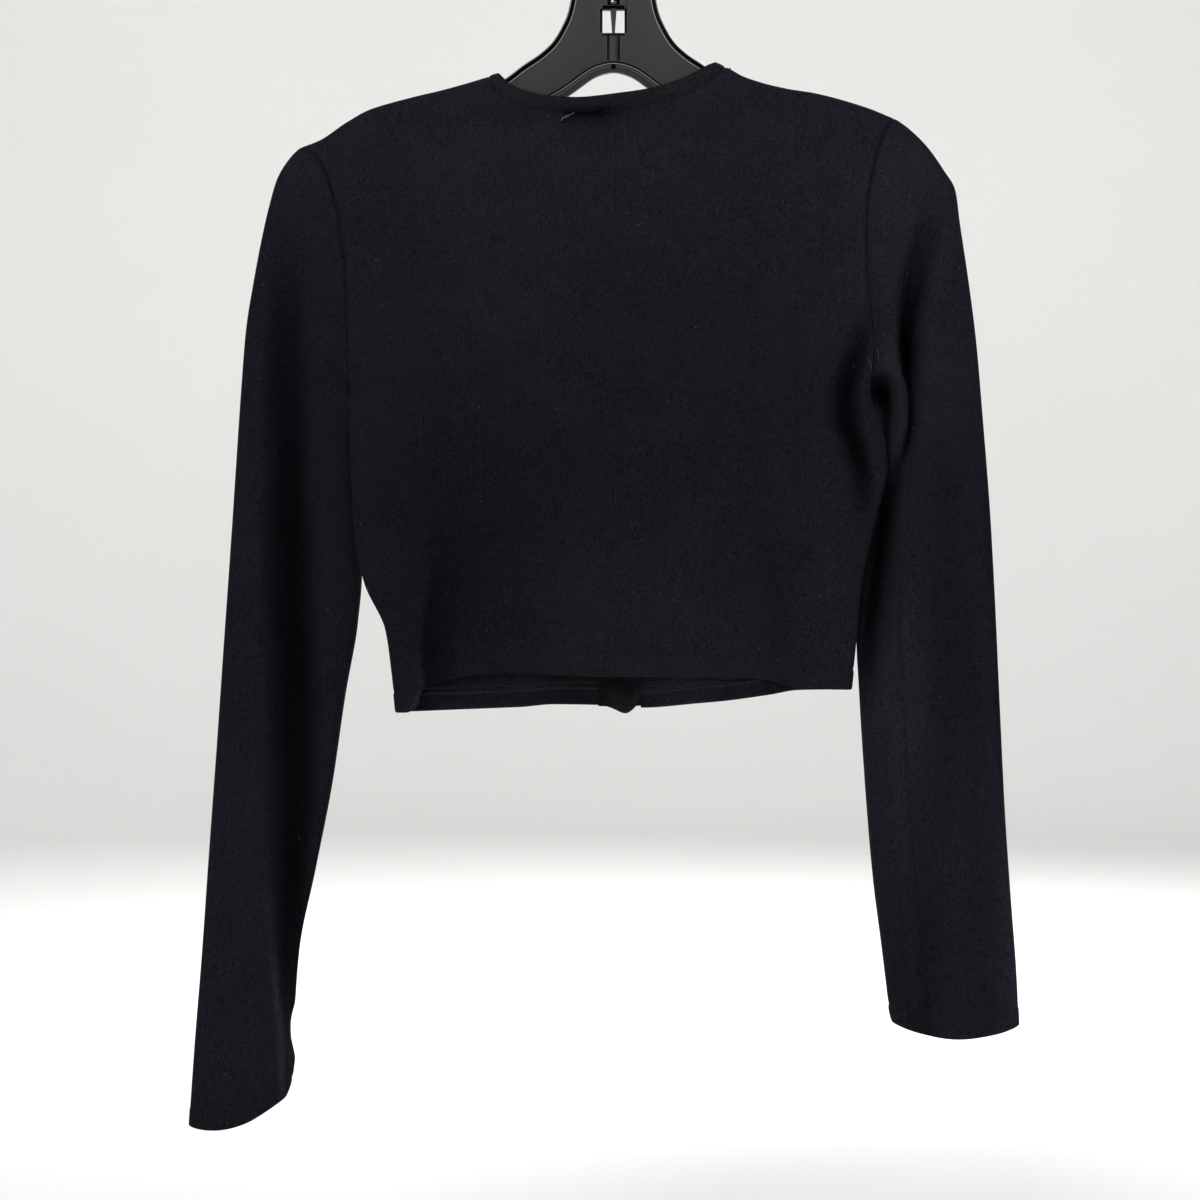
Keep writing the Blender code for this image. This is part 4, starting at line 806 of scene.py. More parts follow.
def knit_material(name, colour, wale=WALE, course=COURSE):
    """Fine knit on the cloth's own UV map. Each wale is a rounded rib with V-shaped
    stitches down it; the yarn is uneven, slightly heathered, and holds a little lint. Its colour
    also carries painted light and shade: patches painted lighter and darker, painted shade in
    folds and along seams, and painted highlights on ridges, fold edges and hem edges."""
    s = Shader(name)
    u, v, _ = s.split(s.add("ShaderNodeUVMap", {"uv_map": "cloth"}))
    drift = s.noise(55, 2.0)
    u = u + (drift - 0.5) * (1.6 * MM)
    off_rib = ((u / wale).math("FRACT") - 0.5).math("ABSOLUTE") * 2
    shown = s.between(s.noise(38, 2.0), 0.30, 0.72)
    rib = 1 - off_rib * off_rib * (0.35 + shown * 0.65)
    stitch = ((v / course + off_rib * 0.45) * (2 * np.pi)).math("SINE") * 0.5 + 0.5
    yarn = s.noise(740, 3.0, 0.62)
    clump = s.noise(560, 2.0, 0.6)
    height = rib * 0.62 + rib * stitch * 0.38 + (yarn - 0.5) * 0.9 + (clump - 0.5) * 0.4
    blotch = s.noise(9, 3.0, 0.6)
    tone = (0.62 + rib * 0.22 + stitch * 0.10 + (yarn - 0.5) * 2.1 + (clump - 0.5) * 0.8
            + (blotch - 0.5) * 0.35)
    dark = tuple(0.26 * part for part in colour)
    light = tuple(2.1 * part for part in colour)
    base = s.mix(s.between(tone, 0.05, 1.32), dark, light)
    x, _, z = s.split(s.here())
    # Painted light and shade: each patch lightens or darkens the colour where the light falls more or less
    # on the cloth
    painted_light = 1.0
    for patch in PAINTED_LIGHT_PATCHES:
        away = (((x - patch.across * MM) / (patch.wide * MM)) ** 2.0
                + ((z + patch.drop * MM) / (patch.tall * MM)) ** 2.0)
        painted_light = painted_light + patch.change / (1 + away * away)
    away = (((x - OLIVE.across * MM) / (OLIVE.wide * MM)) ** 2.0
            + ((z + OLIVE.drop * MM) / (OLIVE.tall * MM)) ** 2.0)
    olive = s.add("ShaderNodeVectorMath", {"operation": "MULTIPLY"}, {0: base, 1: (1.05, 1.03, 0.83)})
    base = s.mix(OLIVE.change / (1 + away * away), base, olive)
    # Painted shade: the colour is darkened by the point's depth in a fold and along seams, and lightened
    # where a highlight is painted on ridges and edges
    tucked = s.add("ShaderNodeAttribute", {"attribute_name": "tucked"}, {}, "Fac")
    base = s.scaled(base, painted_light * (1 - tucked * 0.86))
    lint = s.between(s.noise(410, 1.0), 0.80, 0.86) * s.between(s.noise(60, 1.0), 0.52, 0.62)
    base = s.mix(lint * 0.55, base, (0.16, 0.17, 0.18))
    normal = s.bump(height, 0.42 * MM, 0.9)
    return s.finish(Base_Color=base, Roughness=0.86 + (yarn - 0.5) * 0.12, Normal=normal,
                    Specular_IOR_Level=0.015, Sheen_Weight=0.02, Sheen_Roughness=0.35,
                    Sheen_Tint=(0.72, 0.78, 0.95))


def thread_material(name, colour):
    """Twisted sewing thread."""
    s = Shader(name)
    twist = s.noise(1900, 2.0)
    base = s.mix(twist, tuple(0.6 * part for part in colour), tuple(1.5 * part for part in colour))
    return s.finish(Base_Color=base, Roughness=0.7, Normal=s.bump(twist, 0.1 * MM, 0.6),
                    Specular_IOR_Level=0.03, Sheen_Weight=0.02)


def plastic_material(name, colour, roughness, grain, depth, specular):
    """Moulded plastic: a fine spark-eroded grain, faint flow marks and rubbed patches."""
    s = Shader(name)
    fine, flow = s.noise(grain, 3.0), s.noise(26, 4.0, 0.65)
    x, y, z = s.split(s.here())
    scratch_at = s.add("ShaderNodeCombineXYZ", {}, {0: x * 34 + z * 12, 1: y * 40, 2: z * 420 - x * 150})
    scratch = s.between(s.noise(1.0, 2.0, 0.5, scratch_at), 0.66, 0.72)
    base = s.mix(flow, tuple(0.82 * part for part in colour), tuple(1.22 * part for part in colour))
    base = s.mix(scratch * 0.25, base, tuple(2.2 * part for part in colour))
    rough = roughness + (flow - 0.5) * 0.16 + (fine - 0.5) * 0.10 + scratch * 0.12
    return s.finish(Base_Color=base, Roughness=rough, Normal=s.bump(fine, depth, 0.5),
                    Specular_IOR_Level=specular)


def add_faces_material(piece, material, columns, around):
    """Gives one more material to the faces in some columns of a piece made of rings."""
    piece.data.materials.append(material)
    number = np.arange(len(piece.data.polygons)) % around
    chosen = np.zeros(len(number), np.int32)
    piece.data.polygons.foreach_get("material_index", chosen)
    chosen[np.isin(number, columns)] = len(piece.data.materials) - 1
    piece.data.polygons.foreach_set("material_index", chosen)


def steel_material():
    """Polished steel wire with a dark nickel plating, a little dulled in places."""
    s = Shader("dark_plated_wire")
    dull, drawn = s.noise(140, 4.0, 0.6), s.noise(900, 2.0)
    base = s.mix(dull, (0.060, 0.060, 0.062), (0.105, 0.104, 0.102))
    return s.finish(Base_Color=base, Metallic=1.0, Roughness=0.15 + dull * 0.18,
                    Normal=s.bump(drawn, 0.05 * MM, 0.25), Coat_Weight=0.3, Coat_Roughness=0.12)


def floor_material():
    """Matt pale paper with the faintest unevenness."""
    s = Shader("pale_floor")
    soft = s.noise(1.3, 2.0)
    return s.finish(Base_Color=s.mix(soft, (0.76, 0.755, 0.74), (0.80, 0.795, 0.78)), Roughness=0.95,
                    Specular_IOR_Level=0.1)


KNIT = knit_material("fine_knit", (0.0045, 0.0048, 0.0066))
KNIT_BAND = knit_material("fine_knit_band", (0.0045, 0.0049, 0.0061), 1.7 * MM, 1.4 * MM)
THREAD = thread_material("sewing_thread", (0.0066, 0.0070, 0.0090))
INNER_THREAD = thread_material("inner_hem_thread", (0.021, 0.023, 0.022))
PALE_THREAD = thread_material("pale_thread", (0.115, 0.11, 0.115))
LINT = thread_material("lint", (0.075, 0.077, 0.083))
BUTTON = plastic_material("button_plastic", (0.010, 0.010, 0.012), 0.26, 700, 0.02 * MM, 0.5)
HANGER = plastic_material("hanger_plastic", (0.0182, 0.0178, 0.0172), 0.46, 1500, 0.05 * MM, 0.16)
# Painted highlight: a pale colour on the rims' faces, standing in for the light they catch
HANGER_PAINTED_HIGHLIGHT = plastic_material("hanger_painted_highlight", (0.17, 0.168, 0.162), 0.34, 1500, 0.03 * MM, 0.4)
# Painted shade: a near-black colour in the grooves and recesses, standing in for the shade there
HANGER_PAINTED_SHADE = plastic_material("hanger_painted_shade", (0.0035, 0.0035, 0.0035), 0.7, 1500, 0.03 * MM, 0.05)
STEEL = steel_material()


# Cloth panels

BACK_COLUMNS = (52, 66, 48)             # left shoulder, neck, right shoulder
FRONT_COLUMNS = 88
ROUND_ROWS = RIDGE_ROUND * (1 - np.cos(np.radians(np.linspace(0, 90, 10))))
ARMHOLE_ROWS, SIDE_ROWS = 72, 92
HEM_STEPS = np.array([1.4, 0.7, 0.0, -0.8, -2.2, -4.0, -6.0, -8.0, -9.8, -11.2])
EDGE_STEPS = np.array([0.55, 0.25, 0.07, 0.0])
SEAM_DEEP, SEAM_REACH, SEAM_SHADE = 0.8, 1.3, 0.35
# A painted highlight along the hem's and the cuffs' folded edge
HEM_EDGE_HIGHLIGHT = 0.35
# How much paler the knit's back is: on a turned-up hem, along its stitching, and above it
PALE_HEM, PALE_STITCHING, PALE_INSIDE = 1.0, 3.2, 1.7
Share = namedtuple("Share", "across share")
PALE_ALONG = [Share(-140, 0.3), Share(-112, 0.45), Share(-92, 0.95), Share(-60, 1.1), Share(-40, 0.6),
              Share(-25, 0.35), Share(-8, 0.2), Share(19, 0.5), Share(40, 1.1), Share(152, 1.0)]


def armhole_rows(top, armpit):
    """Drops from the ridge to the armpit's level: close rows over the ridge, then even."""
    first = top + ROUND_ROWS[-1]
    rows = [top + reach for reach in ROUND_ROWS]
    return rows + [first + (armpit - first) * row / ARMHOLE_ROWS
                   for row in range(1, ARMHOLE_ROWS + 1)]


def armpit_level(across):
    """The drop of a line from armpit to armpit."""
    level = (across - RIDGE[0].across) / (RIDGE[-1].across - RIDGE[0].across)
    return LEFT_ARMPIT_DROP + (RIGHT_ARMPIT_DROP - LEFT_ARMPIT_DROP) * level


ARMPIT_ROW = len(ROUND_ROWS) + ARMHOLE_ROWS - 1


def body_rows(top, low, armpit):
    """Drops down each column: those of the armhole, even rows to the hem's turn, and close
    rows round the hem."""
    last = low - HEM_TURN - HEM_STEPS[0] - 1
    rows = armhole_rows(top, armpit)
    rows += [armpit + (last - armpit) * row / SIDE_ROWS for row in range(1, SIDE_ROWS + 1)]
    rows += [low - HEM_TURN - step for step in HEM_STEPS]
    rows += [low - HEM_CLOTH / 2 * step for step in EDGE_STEPS]
    return np.array(rows)


def panel_grid(top_across, top_drop, low_across, low_drop, first_edge, last_edge):
    """A panel's across and drop: straight columns, bent so that the first and the last
    follow the panel's cut edges."""
    drop = body_rows(top_drop, low_drop, armpit_level(top_across))
    run = (drop - top_drop) / (low_drop - top_drop)
    across = top_across + (low_across - top_across) * run
    share = (top_across - top_across[0]) / (top_across[-1] - top_across[0])
    first = first_edge(drop[:, :1]) - across[:, :1]
    last = last_edge(drop[:, -1:]) - across[:, -1:]
    return across + first * (1 - share) + last * share, drop


def panel_normals(across, drop, side, sides):
    """The form's normals, turned square to the seams: without Y along the ridge, straight
    out along a side seam, and within the armhole's plane above the armpit."""
    normals = body_normals(across, drop, side)
    ridge = drop[0] < table_read(across[0], RIDGE, "across", "drop") + 0.01
    normals[0, ridge, 1] = 0
    for column, way, edge in sides:
        hole = slice(1, ARMPIT_ROW)
        normals[hole, column] = armhole_normals(drop[hole, column], side, edge)
        normals[ARMPIT_ROW:, column] = (way, 0, 0)
        normals[0, column] = (0, 0, 1)
    return unit(normals)


def closer_first(first, last, count):
    """Values from first to last, closer together at the first."""
    return first + (last - first) * np.linspace(0, 1, count) ** 1.35


def round_in(distance, thickness):
    """How far a face sinks near a folded edge, as a quarter circle of half the thickness."""
    half = thickness / 2
    s = np.clip(distance / half, 0, 1)
    return half * (1 - np.sqrt(1 - (1 - s) ** 2)) * 0.96


def cloth_map(points, drop, middle):
    """UV in millimetres: the distance along each row from the middle column, and the drop."""
    steps = np.linalg.norm(np.diff(points, axis=1), axis=-1)
    along = np.concatenate([np.zeros((len(points), 1)), np.cumsum(steps, axis=1)], axis=1)
    return np.stack([along - along[:, middle:middle + 1], -drop], axis=-1)


def panel_wall(name, across, drop, side, sides, neck_columns, middle, stands_for):
    """A panel's wall: its outer face is sunk along seams and at the hem's stitching, and
    rounded over the hem; its inner face steps in where the hem is turned up."""
    normals = panel_normals(across, drop, side, sides)
    above_hem = drop[-1] - drop
    hem = ease((HEM_TURN + 1.0 - above_hem) / 2.0)
    puff = 0.35 * hem - 0.5 * bell(above_hem - HEM_TURN, 1.3)
    below_top = drop - drop[0]
    seams = 0.5 * bell(below_top, SEAM_REACH) * np.where(neck_columns, 1.4, 1.0)
    for column, _, edge in sides:
        from_seam = np.abs(across - edge(drop))
        fade = ease((drop - drop[0]) / 6)
        seams = np.maximum(seams, SEAM_DEEP * fade * bell(from_seam, SEAM_REACH)
                           * np.where(from_seam < 12, 1, 0))
    thick = CLOTH + (HEM_CLOTH - CLOTH) * hem + puff
    sunk = seams - puff + round_in(above_hem, HEM_CLOTH)
    outer = place(across, body_depth(across, drop, side), drop) - normals * sunk[..., None]
    thick = np.maximum(thick - 2 * round_in(above_hem, HEM_CLOTH) - 0.3 * seams, 0.08)
    inner = outer - normals * thick[..., None]
    # Painted shade in the folds and along the seams; painted highlights on ridges, along the back's flap
    # edge and along the hem's folded edge
    tucked = in_fold(fold_offset(across, drop, BACK_FOLDS if side < 0 else FRONT_FOLDS))
    if side < 0:
        tucked = tucked - fold_offset(across, drop, BACK_PAINTED_HIGHLIGHTS)
    tucked = tucked + SEAM_SHADE * seams / SEAM_DEEP - HEM_EDGE_HIGHLIGHT * bell(above_hem, 0.9)
    pale = PALE_HEM + (PALE_STITCHING - PALE_HEM) * ease((above_hem - 8.6) / 2.0)
    pale = pale + (PALE_INSIDE - PALE_STITCHING) * ease((above_hem - 14.6) / 1.4)
    pale = pale * table_read(across, PALE_ALONG, "across", "share") * ease((60 - above_hem) / 25)
    # Just under the back's hem edge the fronts' inner face keeps only 0.3 of its paleness: a painted shadow
    # of the back's hem
    under = drop - table_read(across, BACK_HEM, "across", "drop")
    pale = pale * (0.3 + 0.7 * ease((under - 2.2) / 1.8))
    inside = tucked - pale * (side > 0)
    add_wall(name, outer, inner, cloth_map(outer, drop, middle), KNIT, stands_for,
             tucked=tucked, inside=inside)
    return outer, inner, normals


def add_back():
    """The back panel: shoulder, neck and shoulder along its top, curved hem below."""
    left, neck, right = BACK_COLUMNS
    left_top = closer_first(RIDGE[0].across, NECK_POINT_LEFT.across, left)[:-1]
    right_top = closer_first(RIDGE[-1].across, NECK_POINT_RIGHT.across, right)[:-1][::-1]
    neck_across, neck_drop = path_through(BACK_NECK, neck)
    top_across = np.concatenate([left_top, neck_across, right_top])
    top_drop = np.concatenate([table_read(left_top, RIDGE, "across", "drop"), neck_drop,
                               table_read(right_top, RIDGE, "across", "drop")])
    share = (top_across - top_across[0]) / (top_across[-1] - top_across[0])
    low_across = BACK_HEM[0].across + share * (BACK_HEM[-1].across - BACK_HEM[0].across)
    low_drop = table_read(low_across, BACK_HEM, "across", "drop")
    across, drop = panel_grid(top_across, top_drop, low_across, low_drop, left_edge, right_edge)
    number = np.arange(len(top_across))
    is_neck = (number >= left - 1) & (number < left + neck - 1)
    return across, drop, panel_wall("back_cloth", across, drop, -1,
                                    [(0, -1, left_edge), (-1, 1, right_edge)], is_neck,
                                    len(top_across) // 2, ["back"])


def add_front(name, shoulder, neck_point, hem_side, side_edge, neck_edge, stands_for):
    """One front panel, from its side to its neck edge and centre edge."""
    top_across = closer_first(shoulder.across, neck_point.across, FRONT_COLUMNS)
    top_drop = table_read(top_across, RIDGE, "across", "drop")
    share = (top_across - top_across[0]) / (top_across[-1] - top_across[0])
    low_across = hem_side.across + share * (neck_edge[-1].across - hem_side.across)
    low_drop = table_read(low_across, FRONT_HEM, "across", "drop")
    across, drop = panel_grid(top_across, top_drop, low_across, low_drop, side_edge,
                              lambda at: table_read(at, neck_edge, "drop", "across"))
    return across, drop, panel_wall(name, across, drop, 1, [(0, np.sign(shoulder.across), side_edge)],
                                    np.zeros(FRONT_COLUMNS, bool), FRONT_COLUMNS - 1, stands_for)


def front_neck_rows(neck_point, neck_edge):
    """The drops of a front's neck edge, from the ridge to the foot of the opening."""
    hem = table_read(neck_edge[-1].across, FRONT_HEM, "across", "drop")
    drops = body_rows(neck_point.drop, hem, armpit_level(neck_point.across))
    return drops[drops <= VEE_DROP]


def inward(across, drop):
    """Unit directions in the cloth, square to a neck edge, towards the neck's opening."""
    along = unit(np.stack([np.gradient(across), np.gradient(drop)], axis=-1))
    square = np.stack([along[:, 1], -along[:, 0]], axis=-1)
    to_middle = np.stack([NECK_MIDDLE.across - across, NECK_MIDDLE.drop - drop], axis=-1)
    return square * np.sign(np.sum(square * to_middle, axis=-1, keepdims=True))


BAND_SHARES = np.array([0, 0.03, 0.08, 0.2, 0.35, 0.5, 0.65, 0.8, 0.9, 0.95, 0.985, 1])
ALLOWANCE, ALLOWANCE_SUNK = 2.6, 1.15      # cloth hidden inside the panel beyond a seam


def add_neckband():
    """One folded strip: up the left front's neck edge, round the back neck and down the
    right front's. Its points lie on the body's own form, inside the panels' edges."""
    parts = []
    for neck_point, neck_edge, order in ((NECK_POINT_LEFT, LEFT_NECK_EDGE, -1),
                                         (NECK_POINT_RIGHT, RIGHT_NECK_EDGE, 1)):
        drop = front_neck_rows(neck_point, neck_edge)[::order]
        across = table_read(drop, neck_edge, "drop", "across")
        way = inward(across, drop)
        foot = 0 if order < 0 else -1
        way[foot] = (-order, 0)
        parts.append([across, drop, way, np.full(len(drop), 1.0)])
    count = BACK_COLUMNS[1]
    across, drop = path_through(BACK_NECK, count)
    back = [across, drop, inward(across, drop), np.full(count, -1.0)]
    left, right = parts
    corners = [unit(left[2][-1] + back[2][0]), unit(right[2][0] + back[2][-1])]
    across = np.concatenate([left[0], back[0][1:-1], right[0]])
    drop = np.concatenate([left[1], back[1][1:-1], right[1]])
    way = np.concatenate([left[2], back[2][1:-1], right[2]])
    side = np.concatenate([left[3], back[3][1:-1], right[3]])
    first, last = len(left[0]) - 1, len(left[0]) + count - 2
    way[first], way[last] = corners
    number = np.arange(len(across))
    near_corner = np.minimum(np.abs(number - first), np.abs(number - last)) / 4
    wide = BAND_WIDE + (BAND_WIDE_AT_RIDGE - BAND_WIDE) * (1 - ease(near_corner))
    reach = SEAM_GAP + wide[:, None] * BAND_SHARES
    reach = np.concatenate([np.full((len(across), 1), -ALLOWANCE),
                            np.full((len(across), 1), -0.4), reach], axis=1)
    strip_across = across[:, None] + way[:, :1] * reach
    strip_drop = drop[:, None] + way[:, 1:] * reach
    y = np.where(side[:, None] < 0, body_depth(strip_across, strip_drop, -1),
                 body_depth(strip_across, strip_drop, 1))
    y[[first, last]] = 0
    normals = np.where(side[:, None, None] < 0, body_normals(strip_across, strip_drop, -1),
                       body_normals(strip_across, strip_drop, 1))
    normals[[first, last], :, 1] = 0
    normals = unit(normals)
    from_edge = wide[:, None] + SEAM_GAP - reach
    edge = round_in(from_edge, BAND_CLOTH)
    sunk = 0.85 * bell(np.maximum(reach, 0), 1.4) + edge - 0.3 * bell(reach - 4.5, 3.5)
    sunk = np.where(reach < 0, ALLOWANCE_SUNK, sunk)
    outer = place(strip_across, y, strip_drop) - normals * sunk[..., None]
    thick = np.where(reach < -1, 0.3, np.maximum(BAND_CLOTH - 2 * edge, 0.08))
    inner = outer - normals * thick[..., None]
    steps = np.linalg.norm(np.diff(outer[:, 0], axis=0), axis=-1)
    along = np.concatenate([[0], np.cumsum(steps)])
    cloth = np.stack([along[:, None] + 0 * reach, reach], axis=-1)
    add_wall("neckband_cloth", outer, inner, cloth, KNIT_BAND, ["neckband"])
    return outer, normals


def add_front_band(name, span, lows, out, cloth_thick, stands_for):
    """A folded strip down a centre edge. It is made from the front's own points, moved
    out, and `lows` gives its lower edge."""
    top = front_neck_rows(NECK_POINT_LEFT, LEFT_NECK_EDGE)[-1]
    top = max(top, front_neck_rows(NECK_POINT_RIGHT, RIGHT_NECK_EDGE)[-1]) + 2 * SEAM_GAP
    shares = np.concatenate([[0, 0.01, 0.03, 0.06], np.linspace(0.1, 0.9, 15), [0.94, 0.97, 0.99, 1]])
    across = (span[0] + (span[1] - span[0]) * shares)[None, :]
    low = table_read(np.clip(across, lows[0].across, lows[-1].across), lows, "across", "drop")
    down = np.concatenate([[0, 0.0006, 0.002, 0.004], np.linspace(0.01, 0.99, 120),
                           [0.995, 0.9975, 0.9993, 1]])[:, None]
    drop = top + (low - top) * down
    across = across + 0 * drop
    normals = body_normals(across, drop, 1)
    from_edge = np.minimum(np.minimum(across - span[0], span[1] - across),
                           np.minimum(drop - top, low - drop))
    edge = round_in(from_edge, cloth_thick)
    rows = 0.35 * bell(np.minimum(across - span[0], span[1] - across) - 2.6, 0.8)
    outer = place(across, body_depth(across, drop, 1) + out, drop) - normals * (edge + rows)[..., None]
    thick = np.maximum(cloth_thick - 2 * edge - rows, 0.08)
    inner = outer - normals * thick[..., None]
    cloth = np.stack([across, -drop], axis=-1)
    inside = -(0.1 + 0.75 * ease((across + 7) / 9)) * ease((drop - low + 12) / 4)
    add_wall(name, outer, inner, cloth, KNIT_BAND, stands_for, inside=inside)
    return across, drop, outer, inner, normals


SLEEVE_ROWS = 236
CUFF_TURN = 13.0


def add_sleeve(name, rings, folds, far_folds, highlight_folds, edge, cuff_edge, seed, stands_for):
    """A sleeve tube: rings that turn from the armhole's plane to the cuff's, each a
    flattened loop from its outer to its inner point, with the folds in its two faces."""
    outer_x, outer_drop, inner_x, inner_drop, inner_set, deep, square = columns(rings)
    way = np.sign(outer_x[0])
    run = np.linspace(0, 1, SLEEVE_ROWS - 8)
    length = np.hypot(*(np.diff(column) for column in (outer_x, outer_drop))).sum()
    last = 1 - HEM_CLOTH / 2 * EDGE_STEPS / length
    starts = np.array([0.25, 0.8, 1.6, 2.6]) / length
    t = np.unique(np.concatenate([run[run < last[0] - 0.001], last, starts]))[:, None]
    half = np.array(armhole_rows(outer_drop[0], inner_drop[0]))
    half = (half - outer_drop[0]) / (inner_drop[0] - outer_drop[0])
    s = np.concatenate([half, half[-2:0:-1]])[None, :]
    angle = np.arccos(np.clip(1 - 2 * s, -1, 1)) * np.where(np.arange(s.size) < len(half), 1, -1)

    def read(values):
        return smooth_read(t, np.linspace(0, 1, len(rings)), values)

    bulge = np.abs(np.sin(angle))
    near = np.where(np.sin(angle) > 0, 1.0, -1.0)
    across = read(outer_x) + (read(inner_x) - read(outer_x)) * s
    drop = read(outer_drop) + (read(inner_drop) - read(outer_drop)) * s
    across = across + table_read(drop, cuff_edge, "drop", "across") * ease((s - 0.6) / 0.4)
    y = -near * read(deep) * bulge ** read(square)
    uneven = ripples(across, drop, seed) * 0.8 * bulge * ease(t / 0.1)
    valley = np.where(near > 0, fold_offset(across, drop, folds), fold_offset(across, drop, far_folds))
    # Painted highlights along the fold edges of the near face
    edge_highlight = fold_offset(across, drop, highlight_folds) * (near > 0)
    y = y + near * (bulge * valley - uneven)

    hole_drop = outer_drop[0] + (inner_drop[0] - outer_drop[0]) * s
    hole_across = edge(hole_drop)
    hole_y = np.where(near > 0, body_depth(hole_across, hole_drop, -1),
                      body_depth(hole_across, hole_drop, 1))
    hole_y = np.where(bulge < 1e-4, 0, hole_y)
    fade = 1 - ease(t / ARMHOLE_BLEND)
    straight = outer_x[0] + (inner_x[0] - outer_x[0]) * s
    across = across + fade * (hole_across - straight) + way * SEAM_GAP
    y = y + fade * (hole_y - y) + read(inner_set) * s
    bow = CUFF_BOW * ease((t - 1 + CUFF_BOW_RUN) / CUFF_BOW_RUN) * bulge ** 2
    drop = drop + bow * (near > 0)

    points = place(across, y, drop)
    normals = tube_normals(points)
    normals[0] = np.where(near[0, :, None] > 0, armhole_normals(hole_drop[0], -1, edge),
                          armhole_normals(hole_drop[0], 1, edge))
    normals[0, [0, len(half) - 1]] = (0, 0, 1), (0, 0, -1)
    steps = np.linalg.norm(np.diff(points, axis=0), axis=-1)
    down = np.concatenate([np.zeros((1, s.size)), np.cumsum(steps, axis=0)])
    from_cuff = down[-1:] - down
    hem = ease((CUFF_TURN + 1.0 - from_cuff) / 2.0)
    puff = 0.3 * hem - 0.45 * bell(from_cuff - CUFF_TURN, 1.3)
    seam = SEAM_DEEP * bell(down, SEAM_REACH)
    edge_in = round_in((1 - t) * length, CLOTH + 0.6)
    outer = points - normals * (seam - puff + edge_in)[..., None]
    thick = np.maximum(CLOTH + 0.6 * hem + puff - 2 * edge_in - 0.3 * seam, 0.08)
    inner = outer - normals * thick[..., None]
    tucked = points[:1] - (way * ALLOWANCE, 0, 0) - normals[:1] * ALLOWANCE_SUNK
    outer = np.concatenate([tucked, outer])
    inner = np.concatenate([tucked - normals[:1] * 0.3, inner])
    normals, down = np.concatenate([normals[:1], normals]), np.concatenate([-down[1:2], down])
    from_cuff = np.concatenate([from_cuff[:1], from_cuff])
    closed = np.concatenate([outer, outer[:, :1]], axis=1)
    around = np.linalg.norm(np.diff(closed, axis=1), axis=-1)
    around = np.concatenate([np.zeros((len(outer), 1)), np.cumsum(around, axis=1)], axis=1)
    cloth = np.stack([around, -np.concatenate([down, down[:, :1]], axis=1)], axis=-1)
    # Painted shade in the folds and along the armhole seam; painted highlights on ridges, along fold edges
    # and along the cuff's folded edge
    valley = in_fold(valley) - edge_highlight - HEM_EDGE_HIGHLIGHT * bell((1 - t) * length, 0.9)
    valley = np.concatenate([valley[:1], valley]) + SEAM_SHADE * bell(down, SEAM_REACH)
    add_wall(name, outer, inner, cloth, KNIT, stands_for, wraps=True, tucked=valley)
    return outer, inner, normals, from_cuff


# Sewing

def row_at(grid, value, wanted):
    """Points across a grid where `value`, which falls down each column, is what is wanted."""
    below = np.argmax(value <= wanted, axis=0)
    number = np.arange(value.shape[1])
    above = np.maximum(below - 1, 0)
    first, second = value[above, number], value[below, number]
    share = ((first - wanted) / np.maximum(first - second, 1e-9))[:, None]
    return grid[above, number] * (1 - share) + grid[below, number] * share


def hem_stitches(name, outer, normals, above_hem, offsets, out, material, slot="knit", **sizes):
    """Rows of stitches at set distances above a hem, standing out from the cloth."""
    for number, offset in enumerate(offsets):
        path = row_at(outer, above_hem, offset)
        up = unit(row_at(normals, above_hem, offset))
        add_stitches(f"{name}_{number + 1}", path + up * out, up, material, slot, **sizes)


def add_inner_stitches(name, path_table, out, material, **sizes):
    """Stitches on the inner face of the front's bands, along a smooth path."""
    across, drop = path_through(path_table, 40)
    normals = body_normals(across, drop, 1)
    path = place(across, body_depth(across, drop, 1) + out, drop)
    add_stitches(name, path, -normals, material, "knit_band", **sizes)


def add_fibres(name, grids, seed):
    """Short pale fibres caught on the cloth. Each is a curved strand of 5 rings of 4 points,
    centred on a point of the cloth that the seeded generator draws."""
    draw = np.random.default_rng(seed)
    middle, up = [], []
    for outer, normals, count in grids:
        rows = draw.integers(6, len(outer) - 8, count)
        places = draw.integers(3, outer.shape[1] - 3, count)
        middle.append(outer[rows, places])
        up.append(normals[rows, places])
    middle, up = np.concatenate(middle), unit(np.concatenate(up))
    count = len(middle)
    turn, length = draw.uniform(0, 2 * np.pi, (count, 1)), draw.gamma(2.0, 0.55, (count, 1)) + 0.4
    flat = unit(np.cross(up, np.array([0.3, 0.2, 0.93])))
    along = flat * np.cos(turn) + np.cross(up, flat) * np.sin(turn)
    side, bend = np.cross(up, along), draw.normal(0, 0.35, (count, 1))
    run = np.linspace(-1, 1, 5)
    paths = (middle[:, None] + 0.14 * up[:, None] + (along * length / 2)[:, None] * run[:, None]
             + (side * bend * length)[:, None] * run[:, None] ** 2)
    angle = np.linspace(0, 2 * np.pi, 4, endpoint=False)
    thick = 0.11 * np.array([0.5, 1, 1, 1, 0.5])[:, None, None]
    points = (paths[:, :, None] + thick * (side[:, None, None] * np.cos(angle)[:, None]
                                           + up[:, None, None] * np.sin(angle)[:, None]))
    faces = (tube_faces(5, 4)[None] + 20 * np.arange(count)[:, None, None]).reshape(-1, 4)
    return add_piece(name, points, faces, LINT)


def add_loose_threads():
    """The pale thread under the neckband, and the light thread ends at the right armpit: each
    a thin strand carried along a short curve just off the back's face."""
    strands = []
    for table, radius in LOOSE_THREADS:
        across, drop = path_through(table, 14)
        off = 0.4 + 0.9 * np.linspace(0, 1, 14)
        path = place(across, body_depth(across, drop, -1) - off, drop)
        strands.append((carried(path, radius, 6), tube_faces(14, 6)))
    return merged("loose_threads", strands, PALE_THREAD)


